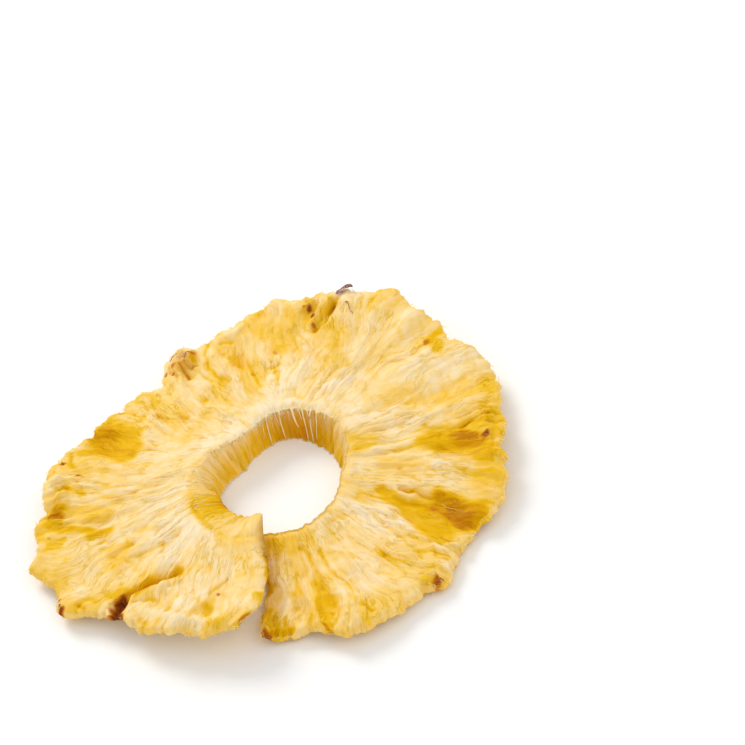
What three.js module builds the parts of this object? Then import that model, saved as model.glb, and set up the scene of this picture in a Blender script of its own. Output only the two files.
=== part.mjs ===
// A dried pineapple ring, cut through once and lying with its better side up.
// Millimetres, +Z up, and z = 0 is what it lies on.
// Angles are degrees, counter-clockwise from +X round the hole's middle. They start at the cut,
// at 246, and run once round to 606, because the two flanks of the cut differ.

import * as THREE from 'three';

const DEGREE = Math.PI / 180;

// The cut that opens the ring, and how finely the solid is divided.
const CUT_START = 246;
const CUT_END = CUT_START + 360;
const SECTIONS = 164;
const TOP_STEPS = 16;
const BOTTOM_STEPS = 7;

// The hole's middle, measured from the middle of the whole outline.
const HOLE_CENTRE = new THREE.Vector2(2.88, 0.37);

// The outer edge: how far it reaches from the hole's middle, its top's height and its thickness.
const REACH = [
  [246, 40.2], [251, 40.9], [262, 41.0], [268, 43.8], [274, 46.4], [287, 45.5], [294, 44.7],
  [298, 46.8], [304, 44.3], [312, 43.1], [328, 45.9], [340, 44.0], [352, 44.8], [356, 44.0],
  [365, 46.0], [378, 45.8], [386, 43.9], [391, 46.0], [399, 45.8], [405, 48.6], [412, 47.0],
  [419, 45.8], [423, 46.0], [430, 44.8], [437, 46.5], [449, 44.5], [459, 44.2], [464, 46.8],
  [469, 45.2], [474, 41.4], [479, 42.9], [487, 43.0], [494, 44.7], [500, 43.3], [506, 45.7],
  [513, 48.3], [519, 48.7], [524, 47.7], [528, 49.2], [535, 49.8], [540, 51.9], [549, 49.0],
  [555, 51.2], [561, 47.4], [570, 44.3], [578, 44.9], [584, 44.4], [598, 43.5], [606, 42.4],
];
const EDGE_TOP = [
  [246, 3.4], [258, 3.2], [272, 4.5], [285, 4.2], [298, 3.0], [312, 3.2], [326, 4.5],
  [340, 6.0], [352, 5.5], [365, 5.0], [378, 6.2], [390, 7.7], [402, 8.7], [416, 9.4],
  [430, 8.9], [444, 7.6], [456, 5.6], [468, 4.0], [480, 3.6], [492, 4.7], [506, 6.2],
  [520, 6.5], [534, 5.2], [548, 4.4], [560, 5.2], [572, 6.5], [584, 7.5], [596, 8.2],
  [606, 8.6],
];
const EDGE_THICKNESS = [
  [246, 2.4], [300, 2.7], [360, 2.4], [430, 2.1], [470, 2.6], [540, 2.6], [575, 3.0], [606, 2.2],
];

// The hole: its upper rim's radius and height, and its foot's radius and height.
const RIM_RADIUS = [
  [246, 15.2], [270, 15.2], [300, 14.0], [330, 12.5], [357, 13.8], [385, 15.0], [410, 15.0],
  [435, 14.6], [455, 13.3], [472, 12.2], [486, 12.8], [500, 14.7], [515, 16.2], [531, 17.0],
  [547, 18.1], [560, 19.0], [575, 19.8], [590, 20.6], [606, 18.5],
];
const RIM_HEIGHT = [
  [246, 4.0], [270, 4.0], [300, 4.4], [330, 5.3], [357, 6.1], [385, 7.0], [410, 7.4],
  [435, 7.5], [472, 7.5], [500, 7.8], [531, 8.0], [560, 8.3], [590, 8.5], [606, 8.6],
];
const FOOT_RADIUS = [
  [246, 14.6], [270, 14.4], [300, 13.4], [330, 11.8], [357, 11.3], [385, 11.6], [410, 12.6],
  [435, 13.9], [455, 13.2], [472, 11.9], [486, 11.2], [500, 12.1], [515, 12.9], [560, 12.8],
  [606, 13.6],
];
const FOOT_HEIGHT = [
  [246, 0.0], [480, 0.0], [515, 0.6], [540, 1.5], [575, 2.6], [592, 3.8], [606, 6.4],
];
// The ledge part of the way down the hole's wall, where its slope changes.
const LEDGE_RADIUS = [
  [246, 14.9], [270, 14.8], [300, 13.8], [330, 12.2], [357, 12.6], [385, 13.4], [410, 13.9],
  [435, 14.3], [455, 13.3], [472, 12.1], [486, 12.1], [500, 13.3], [515, 13.8], [531, 13.6],
  [547, 13.1], [585, 13.4], [606, 13.3],
];
const LEDGE_HEIGHT = [
  [246, 2.2], [300, 2.6], [357, 3.8], [410, 4.4], [472, 4.4], [500, 4.6], [531, 5.2],
  [560, 5.6], [590, 6.2], [606, 7.2],
];

// The body between them.
const COLLAR_WIDTH = 3.5;
const DISH_DEPTH = 0.9;
const WAVE_HEIGHT = 0.7;
const FIBRE_HEIGHT = 0.42;
const RIB_HEIGHT = 0.3;
const UNDERSIDE_SINK = 0.8;
const THINNING_POWER = 0.65;
const EDGE_ROUNDING_START = 0.88;
const EDGE_ROUNDING = 0.3;

// The winding of the cut from the hole to the outer edge, and the width that it stands open.
// The left flank is raised and laps over the right one, except at the open mouth of the cut.
const CUT_LEAN = -5;
const CUT_SWING = 9.5;
const CUT_TURNING = 0.75;
const CUT_POWER = 0.9;
const CUT_REACH = 58;
const CUT_LAP = 0.9;
const CUT_MOUTH = 2.2;
const CUT_MOUTH_START = 0.8;
const CUT_LAP_SPAN = 9;

// Sunken places in the flesh: angle, radius, half length along the radius, half width, depth.
const HOLLOWS = [
  [501, 38.5, 4.8, 3.9, 1.3],
  [485, 32.8, 2.8, 0.9, 0.6],
  [481, 28.0, 2.6, 0.9, 0.6],
  [535, 40.5, 7.0, 1.7, 0.6],
  [551, 34.0, 4.5, 1.1, 0.5],
  [570, 42.6, 1.7, 1.9, 2.0],
  [594, 38.5, 1.8, 2.2, 0.8],
  [451, 35.5, 5.5, 1.9, 0.7],
  [439, 41.0, 4.0, 4.2, 0.6],
  [345, 37.0, 7.5, 3.4, 1.2],
  [315, 35.5, 9.0, 4.6, 1.2],
  [271, 38.0, 4.2, 2.8, 0.7],
  [261, 36.0, 3.6, 2.2, 0.5],
  [368, 34.0, 5.0, 2.4, 0.5],
];

// Lumps of crumpled skin left along the edge: angle, radius, half length, half width, height.
const LUMPS = [
  [465, 42.0, 3.0, 3.4, 1.0],
  [428, 43.0, 2.0, 2.6, 0.7],
  [296, 44.0, 2.0, 3.0, 0.8],
  [353, 42.0, 1.8, 2.2, 0.6],
  [517, 46.0, 1.6, 2.2, 0.6],
  [524, 44.0, 1.5, 3.0, 0.5],
];

// Sharp folds, from one end to the other: angle and radius of each, half width, drop and lip.
const FOLDS = [
  { from: [566, 42.5], to: [577, 31.0], halfWidth: 1.5, drop: 1.3, lip: 0.7 },
  { from: [421, 45.5], to: [426, 37.0], halfWidth: 1.5, drop: 1.1, lip: 0.8 },
  { from: [456, 41.5], to: [447, 28.5], halfWidth: 1.3, drop: 0.7, lip: 0.4 },
  { from: [349, 28.5], to: [352, 43.5], halfWidth: 1.5, drop: 0.7, lip: 0.5 },
];

function smoothstep(low, high, value) {
  return THREE.MathUtils.smoothstep(value, low, high);
}

// A repeatable value from -1 to 1 for each point of a whole-number grid.
function lattice(column, row, seed) {
  const mixed = Math.imul(column, 374761393) + Math.imul(row, 668265263) + Math.imul(seed, 974634777);
  const stirred = Math.imul(mixed ^ (mixed >>> 13), 1274126177);
  return ((stirred ^ (stirred >>> 16)) >>> 0) / 2147483648 - 1;
}

function fade(part) {
  return part * part * part * (part * (part * 6 - 15) + 10);
}

// Smooth noise from -1 to 1 between those grid points.
function noise(x, y, seed) {
  const column = Math.floor(x);
  const row = Math.floor(y);
  const across = fade(x - column);
  const along = fade(y - row);
  const near = THREE.MathUtils.lerp(lattice(column, row, seed), lattice(column + 1, row, seed), across);
  const far = THREE.MathUtils.lerp(lattice(column, row + 1, seed), lattice(column + 1, row + 1, seed), across);
  return THREE.MathUtils.lerp(near, far, along);
}

// A smooth curve through stations of [angle, value].
function follow(stations, angle) {
  const last = stations.length - 2;
  let index = 0;
  while (index < last && angle > stations[index + 1][0]) {
    index += 1;
  }
  const before = stations[Math.max(index - 1, 0)];
  const start = stations[index];
  const end = stations[index + 1];
  const after = stations[Math.min(index + 2, last + 1)];
  const span = end[0] - start[0];
  const startSlope = (end[1] - before[1]) / (end[0] - before[0]);
  const endSlope = (after[1] - start[1]) / (after[0] - start[0]);
  const part = THREE.MathUtils.clamp((angle - start[0]) / span, 0, 1);
  const square = part * part;
  const cube = square * part;
  return (2 * cube - 3 * square + 1) * start[1]
    + (cube - 2 * square + part) * span * startSlope
    + (3 * square - 2 * cube) * end[1]
    + (cube - square) * span * endSlope;
}

// Where a section lies once the ring is bent along the winding cut; across is 0 at the hole and
// 1 at the outer edge.
function bentAngle(angle, across) {
  const reached = Math.pow(THREE.MathUtils.clamp(across, 0, 1), CUT_POWER);
  const shift = CUT_LEAN + CUT_SWING * Math.sin(CUT_TURNING * Math.PI * reached);
  const distance = Math.min(angle - CUT_START, CUT_END - angle);
  return angle + shift * (1 - smoothstep(0, CUT_REACH, distance));
}

// Half the open width of the cut, less than nothing where the flanks lap, in millimetres.
function halfGap(across) {
  const opening = smoothstep(CUT_MOUTH_START, 1, across);
  return THREE.MathUtils.lerp(-CUT_LAP, CUT_MOUTH, opening) / 2;
}

// Distance from one place on the ring to another, along the radius and across it.
function offsets(angle, radius, otherAngle, otherRadius) {
  const turn = (angle - otherAngle) * DEGREE;
  return [radius * Math.cos(turn) - otherRadius, radius * Math.sin(turn)];
}

function moundAt(list, angle, radius) {
  let total = 0;
  for (const [centreAngle, centreRadius, halfLength, halfWidth, height] of list) {
    const [along, across] = offsets(angle, radius, centreAngle, centreRadius);
    const distance = Math.hypot(along / halfLength, across / halfWidth);
    total += height * (1 - smoothstep(0.45, 1.25, distance));
  }
  return total;
}

// A fold drops sharply on one side and is raised into a lip on the other.
function foldAt(angle, radius) {
  let total = 0;
  const x = radius * Math.cos(angle * DEGREE);
  const y = radius * Math.sin(angle * DEGREE);
  for (const { from, to, halfWidth, drop, lip } of FOLDS) {
    const startX = from[1] * Math.cos(from[0] * DEGREE);
    const startY = from[1] * Math.sin(from[0] * DEGREE);
    const runX = to[1] * Math.cos(to[0] * DEGREE) - startX;
    const runY = to[1] * Math.sin(to[0] * DEGREE) - startY;
    const length = Math.hypot(runX, runY);
    const part = ((x - startX) * runX + (y - startY) * runY) / (length * length);
    const side = ((x - startX) * runY - (y - startY) * runX) / length;
    const ends = smoothstep(-0.15, 0.2, part) * (1 - smoothstep(0.75, 1.15, part));
    const groove = Math.exp(-Math.pow(side / halfWidth, 2));
    const ridge = Math.exp(-Math.pow((side - 2 * halfWidth) / (1.4 * halfWidth), 2));
    total += ends * (lip * ridge - drop * groove);
  }
  return total;
}

// Flesh fibres run outward and wander a little.
function fibreRelief(angle, radius, across) {
  const wander = 5 * noise(angle / 30, radius / 14, 11);
  const bundle = noise((angle + wander) / 4.5, radius / 11, 1);
  const rib = 1 - 2 * Math.abs(noise((angle + wander) / 8, radius / 17, 2));
  const strength = smoothstep(0.02, 0.25, across) * (0.7 + 0.6 * across);
  return strength * (FIBRE_HEIGHT * bundle + RIB_HEIGHT * rib);
}

// Everything about one radial section that doesn't change along it.
function sectionSizes(angle) {
  const holeAngle = bentAngle(angle, 0);
  const outerAngle = bentAngle(angle, 1);
  const ragged = 0.3 * noise(angle / 2.4, 0, 22);
  const fluted = 0.25 * noise(angle / 4, 0, 23);
  return {
    angle,
    reach: follow(REACH, outerAngle) + ragged,
    edgeTop: follow(EDGE_TOP, outerAngle) + 0.4 * noise(angle / 6, 0, 24),
    edgeThickness: follow(EDGE_THICKNESS, outerAngle),
    rimRadius: follow(RIM_RADIUS, holeAngle) + fluted,
    rimHeight: follow(RIM_HEIGHT, holeAngle),
    ledgeRadius: follow(LEDGE_RADIUS, holeAngle) - fluted,
    ledgeHeight: follow(LEDGE_HEIGHT, holeAngle),
    footRadius: follow(FOOT_RADIUS, holeAngle) + fluted,
    footHeight: Math.max(0, follow(FOOT_HEIGHT, holeAngle)),
  };
}

// The upper face without its fine relief.
function plainTop(sizes, across) {
  const run = THREE.MathUtils.lerp(sizes.rimHeight, sizes.edgeTop, across);
  return run - DISH_DEPTH * Math.sin(Math.PI * Math.pow(across, 0.8));
}

// How much the upper face has turned down towards the edge.
function edgeDrop(sizes, across) {
  const part = Math.max(0, (across - EDGE_ROUNDING_START) / (1 - EDGE_ROUNDING_START));
  return EDGE_ROUNDING * sizes.edgeThickness * part * part;
}

function topHeight(sizes, across, radius) {
  const angle = bentAngle(sizes.angle, across);
  const middle = Math.sin(Math.PI * THREE.MathUtils.clamp(across, 0, 1));
  const wave = WAVE_HEIGHT * middle * noise(sizes.angle / 24, radius / 16, 3);
  const collar = 0.35 * Math.exp(-Math.pow((radius - sizes.rimRadius) / COLLAR_WIDTH, 2));
  return plainTop(sizes, across) - edgeDrop(sizes, across) + wave + collar
    + fibreRelief(sizes.angle, radius, across)
    + moundAt(LUMPS, angle, radius)
    - moundAt(HOLLOWS, angle, radius)
    + foldAt(angle, radius);
}

function bottomHeight(sizes, across) {
  const coreThickness = sizes.rimHeight - sizes.footHeight;
  const thinned = Math.pow(across, THINNING_POWER);
  const thickness = THREE.MathUtils.lerp(coreThickness, sizes.edgeThickness, thinned);
  const sunk = UNDERSIDE_SINK * Math.sin(Math.PI * Math.min(across + 0.25, 1));
  const uneven = 0.35 * noise(sizes.angle / 12, across * 4, 5) * across;
  return Math.max(0, plainTop(sizes, across) - thickness - sunk + uneven);
}

// One closed section as [radius, height, across], from the rim outward over the top, down the
// edge, inward underneath and up the hole's wall.
function sectionLoop(sizes) {
  const { reach, edgeThickness, rimRadius } = sizes;
  const topReach = reach - 0.12 * edgeThickness;
  const loop = [];
  for (let step = 0; step <= TOP_STEPS; step += 1) {
    const across = step / TOP_STEPS;
    const radius = THREE.MathUtils.lerp(rimRadius, topReach, across);
    loop.push([radius, topHeight(sizes, across, radius), across]);
  }
  const underReach = reach - 0.3 * edgeThickness;
  const edgeFoot = bottomHeight(sizes, 1);
  const edgeLevel = loop[TOP_STEPS][1];
  loop.push([reach, THREE.MathUtils.lerp(edgeLevel, edgeFoot, 0.3), 1]);
  loop.push([reach - 0.03 * edgeThickness, THREE.MathUtils.lerp(edgeLevel, edgeFoot, 0.75), 1]);
  for (let step = BOTTOM_STEPS; step >= 0; step -= 1) {
    const across = step / BOTTOM_STEPS;
    const radius = THREE.MathUtils.lerp(sizes.footRadius, underReach, across);
    loop.push([radius, step === 0 ? sizes.footHeight : bottomHeight(sizes, across), across]);
  }
  const wallMiddle = (sizes.footRadius + sizes.ledgeRadius) / 2;
  loop.push([wallMiddle, (sizes.footHeight + sizes.ledgeHeight) / 2, 0]);
  loop.push([sizes.ledgeRadius, sizes.ledgeHeight, 0]);
  const bevelHeight = THREE.MathUtils.lerp(sizes.ledgeHeight, sizes.rimHeight, 0.62);
  loop.push([(sizes.ledgeRadius + rimRadius) / 2, bevelHeight, 0]);
  return loop;
}

// One flank of the cut, closed between its upper chain of points, from the rim out to the edge,
// and its lower chain, from the rim down the wall and out underneath, in order of radius.
function flankTriangles(loop, first, isLeftFlank) {
  const indices = [];
  const meeting = TOP_STEPS + 2;
  let upper = 0;
  let lower = loop.length - 1;
  while (lower - upper > 1) {
    const upperReach = upper < meeting ? loop[upper + 1][0] : Infinity;
    const lowerReach = lower > meeting ? loop[lower - 1][0] : Infinity;
    const takesUpper = upperReach < lowerReach;
    const apex = takesUpper ? upper + 1 : lower - 1;
    const corners = isLeftFlank ? [upper, apex, lower] : [upper, lower, apex];
    indices.push(...corners.map((corner) => first + corner));
    if (takesUpper) {
      upper = apex;
    } else {
      lower = apex;
    }
  }
  return indices;
}

// One section's points in place, with its flank moved across the cut where it is next to it.
function placedSection(angle, loop) {
  const fromStart = angle - CUT_START;
  const fromEnd = CUT_END - angle;
  const nearness = 1 - smoothstep(0, CUT_LAP_SPAN, Math.min(fromStart, fromEnd));
  const direction = fromStart < fromEnd ? 1 : -1;
  return loop.map(([radius, height, across]) => {
    const moved = direction * nearness * halfGap(across) / radius;
    const turned = bentAngle(angle, across) * DEGREE + moved;
    const x = HOLE_CENTRE.x + radius * Math.cos(turned);
    const y = HOLE_CENTRE.y + radius * Math.sin(turned);
    return [x, y, height];
  });
}

function ringGeometry() {
  const angles = [...Array(SECTIONS).keys()].map((index) => (
    THREE.MathUtils.lerp(CUT_START, CUT_END, index / (SECTIONS - 1))
  ));
  const loops = angles.map((angle) => sectionLoop(sectionSizes(angle)));
  const positions = loops.flatMap((loop, index) => placedSection(angles[index], loop).flat());
  const count = loops[0].length;
  const indices = [];
  for (let section = 0; section < SECTIONS - 1; section += 1) {
    for (let index = 0; index < count; index += 1) {
      const near = section * count + index;
      const nearNext = section * count + (index + 1) % count;
      indices.push(near, nearNext, nearNext + count);
      indices.push(near, nearNext + count, near + count);
    }
  }
  const lastSection = (SECTIONS - 1) * count;
  indices.push(...flankTriangles(loops[0], 0, false));
  indices.push(...flankTriangles(loops[SECTIONS - 1], lastSection, true));
  const geometry = new THREE.BufferGeometry();
  geometry.setAttribute('position', new THREE.Float32BufferAttribute(positions, 3));
  geometry.setIndex(indices);
  geometry.computeVertexNormals();
  return geometry;
}

const fleshMaterial = new THREE.MeshStandardMaterial({
  color: 0xf4cf6e,
  roughness: 0.55,
  metalness: 0,
});

const ring = new THREE.Mesh(ringGeometry(), fleshMaterial);
ring.name = 'pineapple_ring';

const part = new THREE.Group();
part.add(ring);

export default part;
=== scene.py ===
"""Looks of a dried pineapple ring lying flat, seen from above its near side.

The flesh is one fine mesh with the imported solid's own form, from the same sizes, plus
wrinkles, creases and a torn edge. Loose fibres and scraps of skin are pieces of their own. The
ring's sizes are in millimetres and its angles in degrees, counter-clockwise from +X round the
hole's middle. The camera and the lights are placed in metres.
"""

import math

import bpy
import numpy as np
from mathutils import Matrix, Vector


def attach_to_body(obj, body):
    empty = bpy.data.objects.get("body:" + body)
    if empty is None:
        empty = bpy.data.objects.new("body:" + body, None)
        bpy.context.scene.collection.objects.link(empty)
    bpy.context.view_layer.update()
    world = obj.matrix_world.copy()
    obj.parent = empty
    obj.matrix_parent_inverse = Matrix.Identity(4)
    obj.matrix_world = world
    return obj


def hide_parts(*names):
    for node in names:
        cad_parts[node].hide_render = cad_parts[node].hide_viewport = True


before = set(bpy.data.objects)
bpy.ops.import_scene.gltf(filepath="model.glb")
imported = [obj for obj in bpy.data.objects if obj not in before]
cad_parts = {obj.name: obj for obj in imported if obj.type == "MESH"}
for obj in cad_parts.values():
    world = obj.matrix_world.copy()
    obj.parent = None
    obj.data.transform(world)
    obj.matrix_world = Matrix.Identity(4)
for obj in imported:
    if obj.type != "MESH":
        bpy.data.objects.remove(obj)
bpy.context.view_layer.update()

MM = 0.001
NODE = "pineapple_ring"
BODY = "root"

# The photograph's frame and view.
FRAME_PIXELS = 745
FRAME_MIDDLE = FRAME_PIXELS / 2
RING_PIXEL = (281, 472)
PIXELS_PER_MM = 5.15
CAMERA_ELEVATION = 43
CAMERA_ROLL = 20
CAMERA_DISTANCE = 0.8
SENSOR_WIDTH = 36
RING_MID_HEIGHT = 0.005

# The cut that opens the ring.
CUT_START = 246
CUT_END = CUT_START + 360
CUT_LEAN = -5
CUT_SWING = 9.5
CUT_TURNING = 0.75
CUT_POWER = 0.9
CUT_REACH = 58
CUT_LAP = 0.9
CUT_MOUTH = 2.2
CUT_MOUTH_START = 0.8
CUT_LAP_SPAN = 9
FLANK_ROUNDING = 1.6
FLANK_DROP = 0.6
FLAP_TAPER = 5.0
FLAP_EDGE = 0.8

# The hole's middle, measured from the middle of the whole outline.
HOLE_CENTRE = (2.88, 0.37)

# How finely the flesh is divided, and the zones that its points are in.
SECTIONS = 790
TOP_STEPS = 76
EDGE_STEPS = 8
BOTTOM_STEPS = 22
WALL_STEPS = 14
TOP_ZONE, EDGE_ZONE, BOTTOM_ZONE, WALL_ZONE = range(4)

# The outer edge: reach from the hole's middle, its top's height and its thickness.
REACH = [
    (246, 40.2), (251, 40.9), (262, 41.0), (268, 43.8), (274, 46.4), (287, 45.5), (294, 44.7),
    (298, 46.8), (304, 44.3), (312, 43.1), (328, 45.9), (340, 44.0), (352, 44.8), (356, 44.0),
    (365, 46.0), (378, 45.8), (386, 43.9), (391, 46.0), (399, 45.8), (405, 48.6), (412, 47.0),
    (419, 45.8), (423, 46.0), (430, 44.8), (437, 46.5), (449, 44.5), (459, 44.2), (464, 46.8),
    (469, 45.2), (474, 41.4), (479, 42.9), (487, 43.0), (494, 44.7), (500, 43.3), (506, 45.7),
    (513, 48.3), (519, 48.7), (524, 47.7), (528, 49.2), (535, 49.8), (540, 51.9), (549, 49.0),
    (555, 51.2), (561, 47.4), (570, 44.3), (578, 44.9), (584, 44.4), (598, 43.5), (606, 42.4),
]
EDGE_TOP = [
    (246, 3.4), (258, 3.2), (272, 4.5), (285, 4.2), (298, 3.0), (312, 3.2), (326, 4.5),
    (340, 6.0), (352, 5.5), (365, 5.0), (378, 6.2), (390, 7.7), (402, 8.7), (416, 9.4),
    (430, 8.9), (444, 7.6), (456, 5.6), (468, 4.0), (480, 3.6), (492, 4.7), (506, 6.2),
    (520, 6.5), (534, 5.2), (548, 4.4), (560, 5.2), (572, 6.5), (584, 7.5), (596, 8.2),
    (606, 8.6),
]
EDGE_THICKNESS = [
    (246, 2.4), (300, 2.7), (360, 2.4), (430, 2.1), (470, 2.6), (540, 2.6), (575, 3.0),
    (606, 2.2),
]

# The hole: its upper rim, the ledge part of the way down its wall, and its foot.
RIM_RADIUS = [
    (246, 15.2), (270, 15.2), (300, 14.0), (330, 12.5), (357, 13.8), (385, 15.0), (410, 15.0),
    (435, 14.6), (455, 13.3), (472, 12.2), (486, 12.8), (500, 14.7), (515, 16.2), (531, 17.0),
    (547, 18.1), (560, 19.0), (575, 19.8), (590, 20.6), (606, 18.5),
]
RIM_HEIGHT = [
    (246, 4.0), (270, 4.0), (300, 4.4), (330, 5.3), (357, 6.1), (385, 7.0), (410, 7.4),
    (435, 7.5), (472, 7.5), (500, 7.8), (531, 8.0), (560, 8.3), (590, 8.5), (606, 8.6),
]
FOOT_RADIUS = [
    (246, 14.6), (270, 14.4), (300, 13.4), (330, 11.8), (357, 11.3), (385, 11.6), (410, 12.6),
    (435, 13.9), (455, 13.2), (472, 11.9), (486, 11.2), (500, 12.1), (515, 12.9), (560, 12.8),
    (606, 13.6),
]
FOOT_HEIGHT = [
    (246, 0.0), (480, 0.0), (515, 0.6), (540, 1.5), (575, 2.6), (592, 3.8), (606, 6.4),
]
LEDGE_RADIUS = [
    (246, 14.9), (270, 14.8), (300, 13.8), (330, 12.2), (357, 12.6), (385, 13.4), (410, 13.9),
    (435, 14.3), (455, 13.3), (472, 12.1), (486, 12.1), (500, 13.3), (515, 13.8), (531, 13.6),
    (547, 13.1), (585, 13.4), (606, 13.3),
]
LEDGE_HEIGHT = [
    (246, 2.2), (300, 2.6), (357, 3.8), (410, 4.4), (472, 4.4), (500, 4.6), (531, 5.2),
    (560, 5.6), (590, 6.2), (606, 7.2),
]
BEVEL_PART = 0.62

# The body between them.
COLLAR_HEIGHT = 0.35
COLLAR_WIDTH = 3.5
RIM_ROUNDING = 0.75
RIM_ROUNDING_WIDTH = 0.9
DISH_DEPTH = 0.9
WAVE_HEIGHT = 0.7
FIBRE_HEIGHT = 0.42
RIB_HEIGHT = 0.3
UNDERSIDE_SINK = 0.8
THINNING_POWER = 0.65
EDGE_ROUNDING_START = 0.88
EDGE_ROUNDING = 0.3
TOP_INSET = 0.12
UNDER_INSET = 0.3

# Sunken places in the flesh: angle, radius, half length along the radius, half width, depth.
HOLLOWS = [
    (501, 38.5, 4.8, 3.9, 1.3),
    (485, 32.8, 2.8, 0.9, 0.6),
    (481, 28.0, 2.6, 0.9, 0.6),
    (535, 40.5, 7.0, 1.7, 0.6),
    (551, 34.0, 4.5, 1.1, 0.5),
    (568, 42.5, 2.6, 1.9, 2.2),
    (594, 38.5, 1.8, 2.2, 0.8),
    (451, 35.5, 5.5, 1.9, 0.7),
    (439, 41.0, 4.0, 4.2, 0.6),
    (345, 37.0, 7.5, 3.4, 1.2),
    (315, 35.5, 9.0, 4.6, 1.2),
    (271, 38.0, 4.2, 2.8, 0.7),
    (261, 36.0, 3.6, 2.2, 0.5),
    (368, 34.0, 5.0, 2.4, 0.5),
]

# Lumps of crumpled skin left along the edge: angle, radius, half length, half width, height.
LUMPS = [
    (465, 42.0, 3.0, 3.4, 1.0),
    (428, 43.0, 2.0, 2.6, 0.7),
    (296, 44.0, 2.0, 3.0, 0.8),
    (353, 42.0, 1.8, 2.2, 0.6),
    (517, 46.0, 1.6, 2.2, 0.6),
    (524, 44.0, 1.5, 3.0, 0.5),
]

# Sharp folds: angle and radius of both ends, half width, drop and lip. Their slopes are also painted
# more golden as painted shade.
FOLDS = [
    ((567.5, 40.5), (577, 30.0), 1.3, 1.3, 0.7),
    ((419, 45.0), (424.5, 37.0), 0.8, 0.8, 0.6),
    ((456, 41.5), (447, 28.5), 1.3, 0.7, 0.4),
    ((349, 28.5), (352, 43.5), 1.5, 0.7, 0.5),
]
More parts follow.
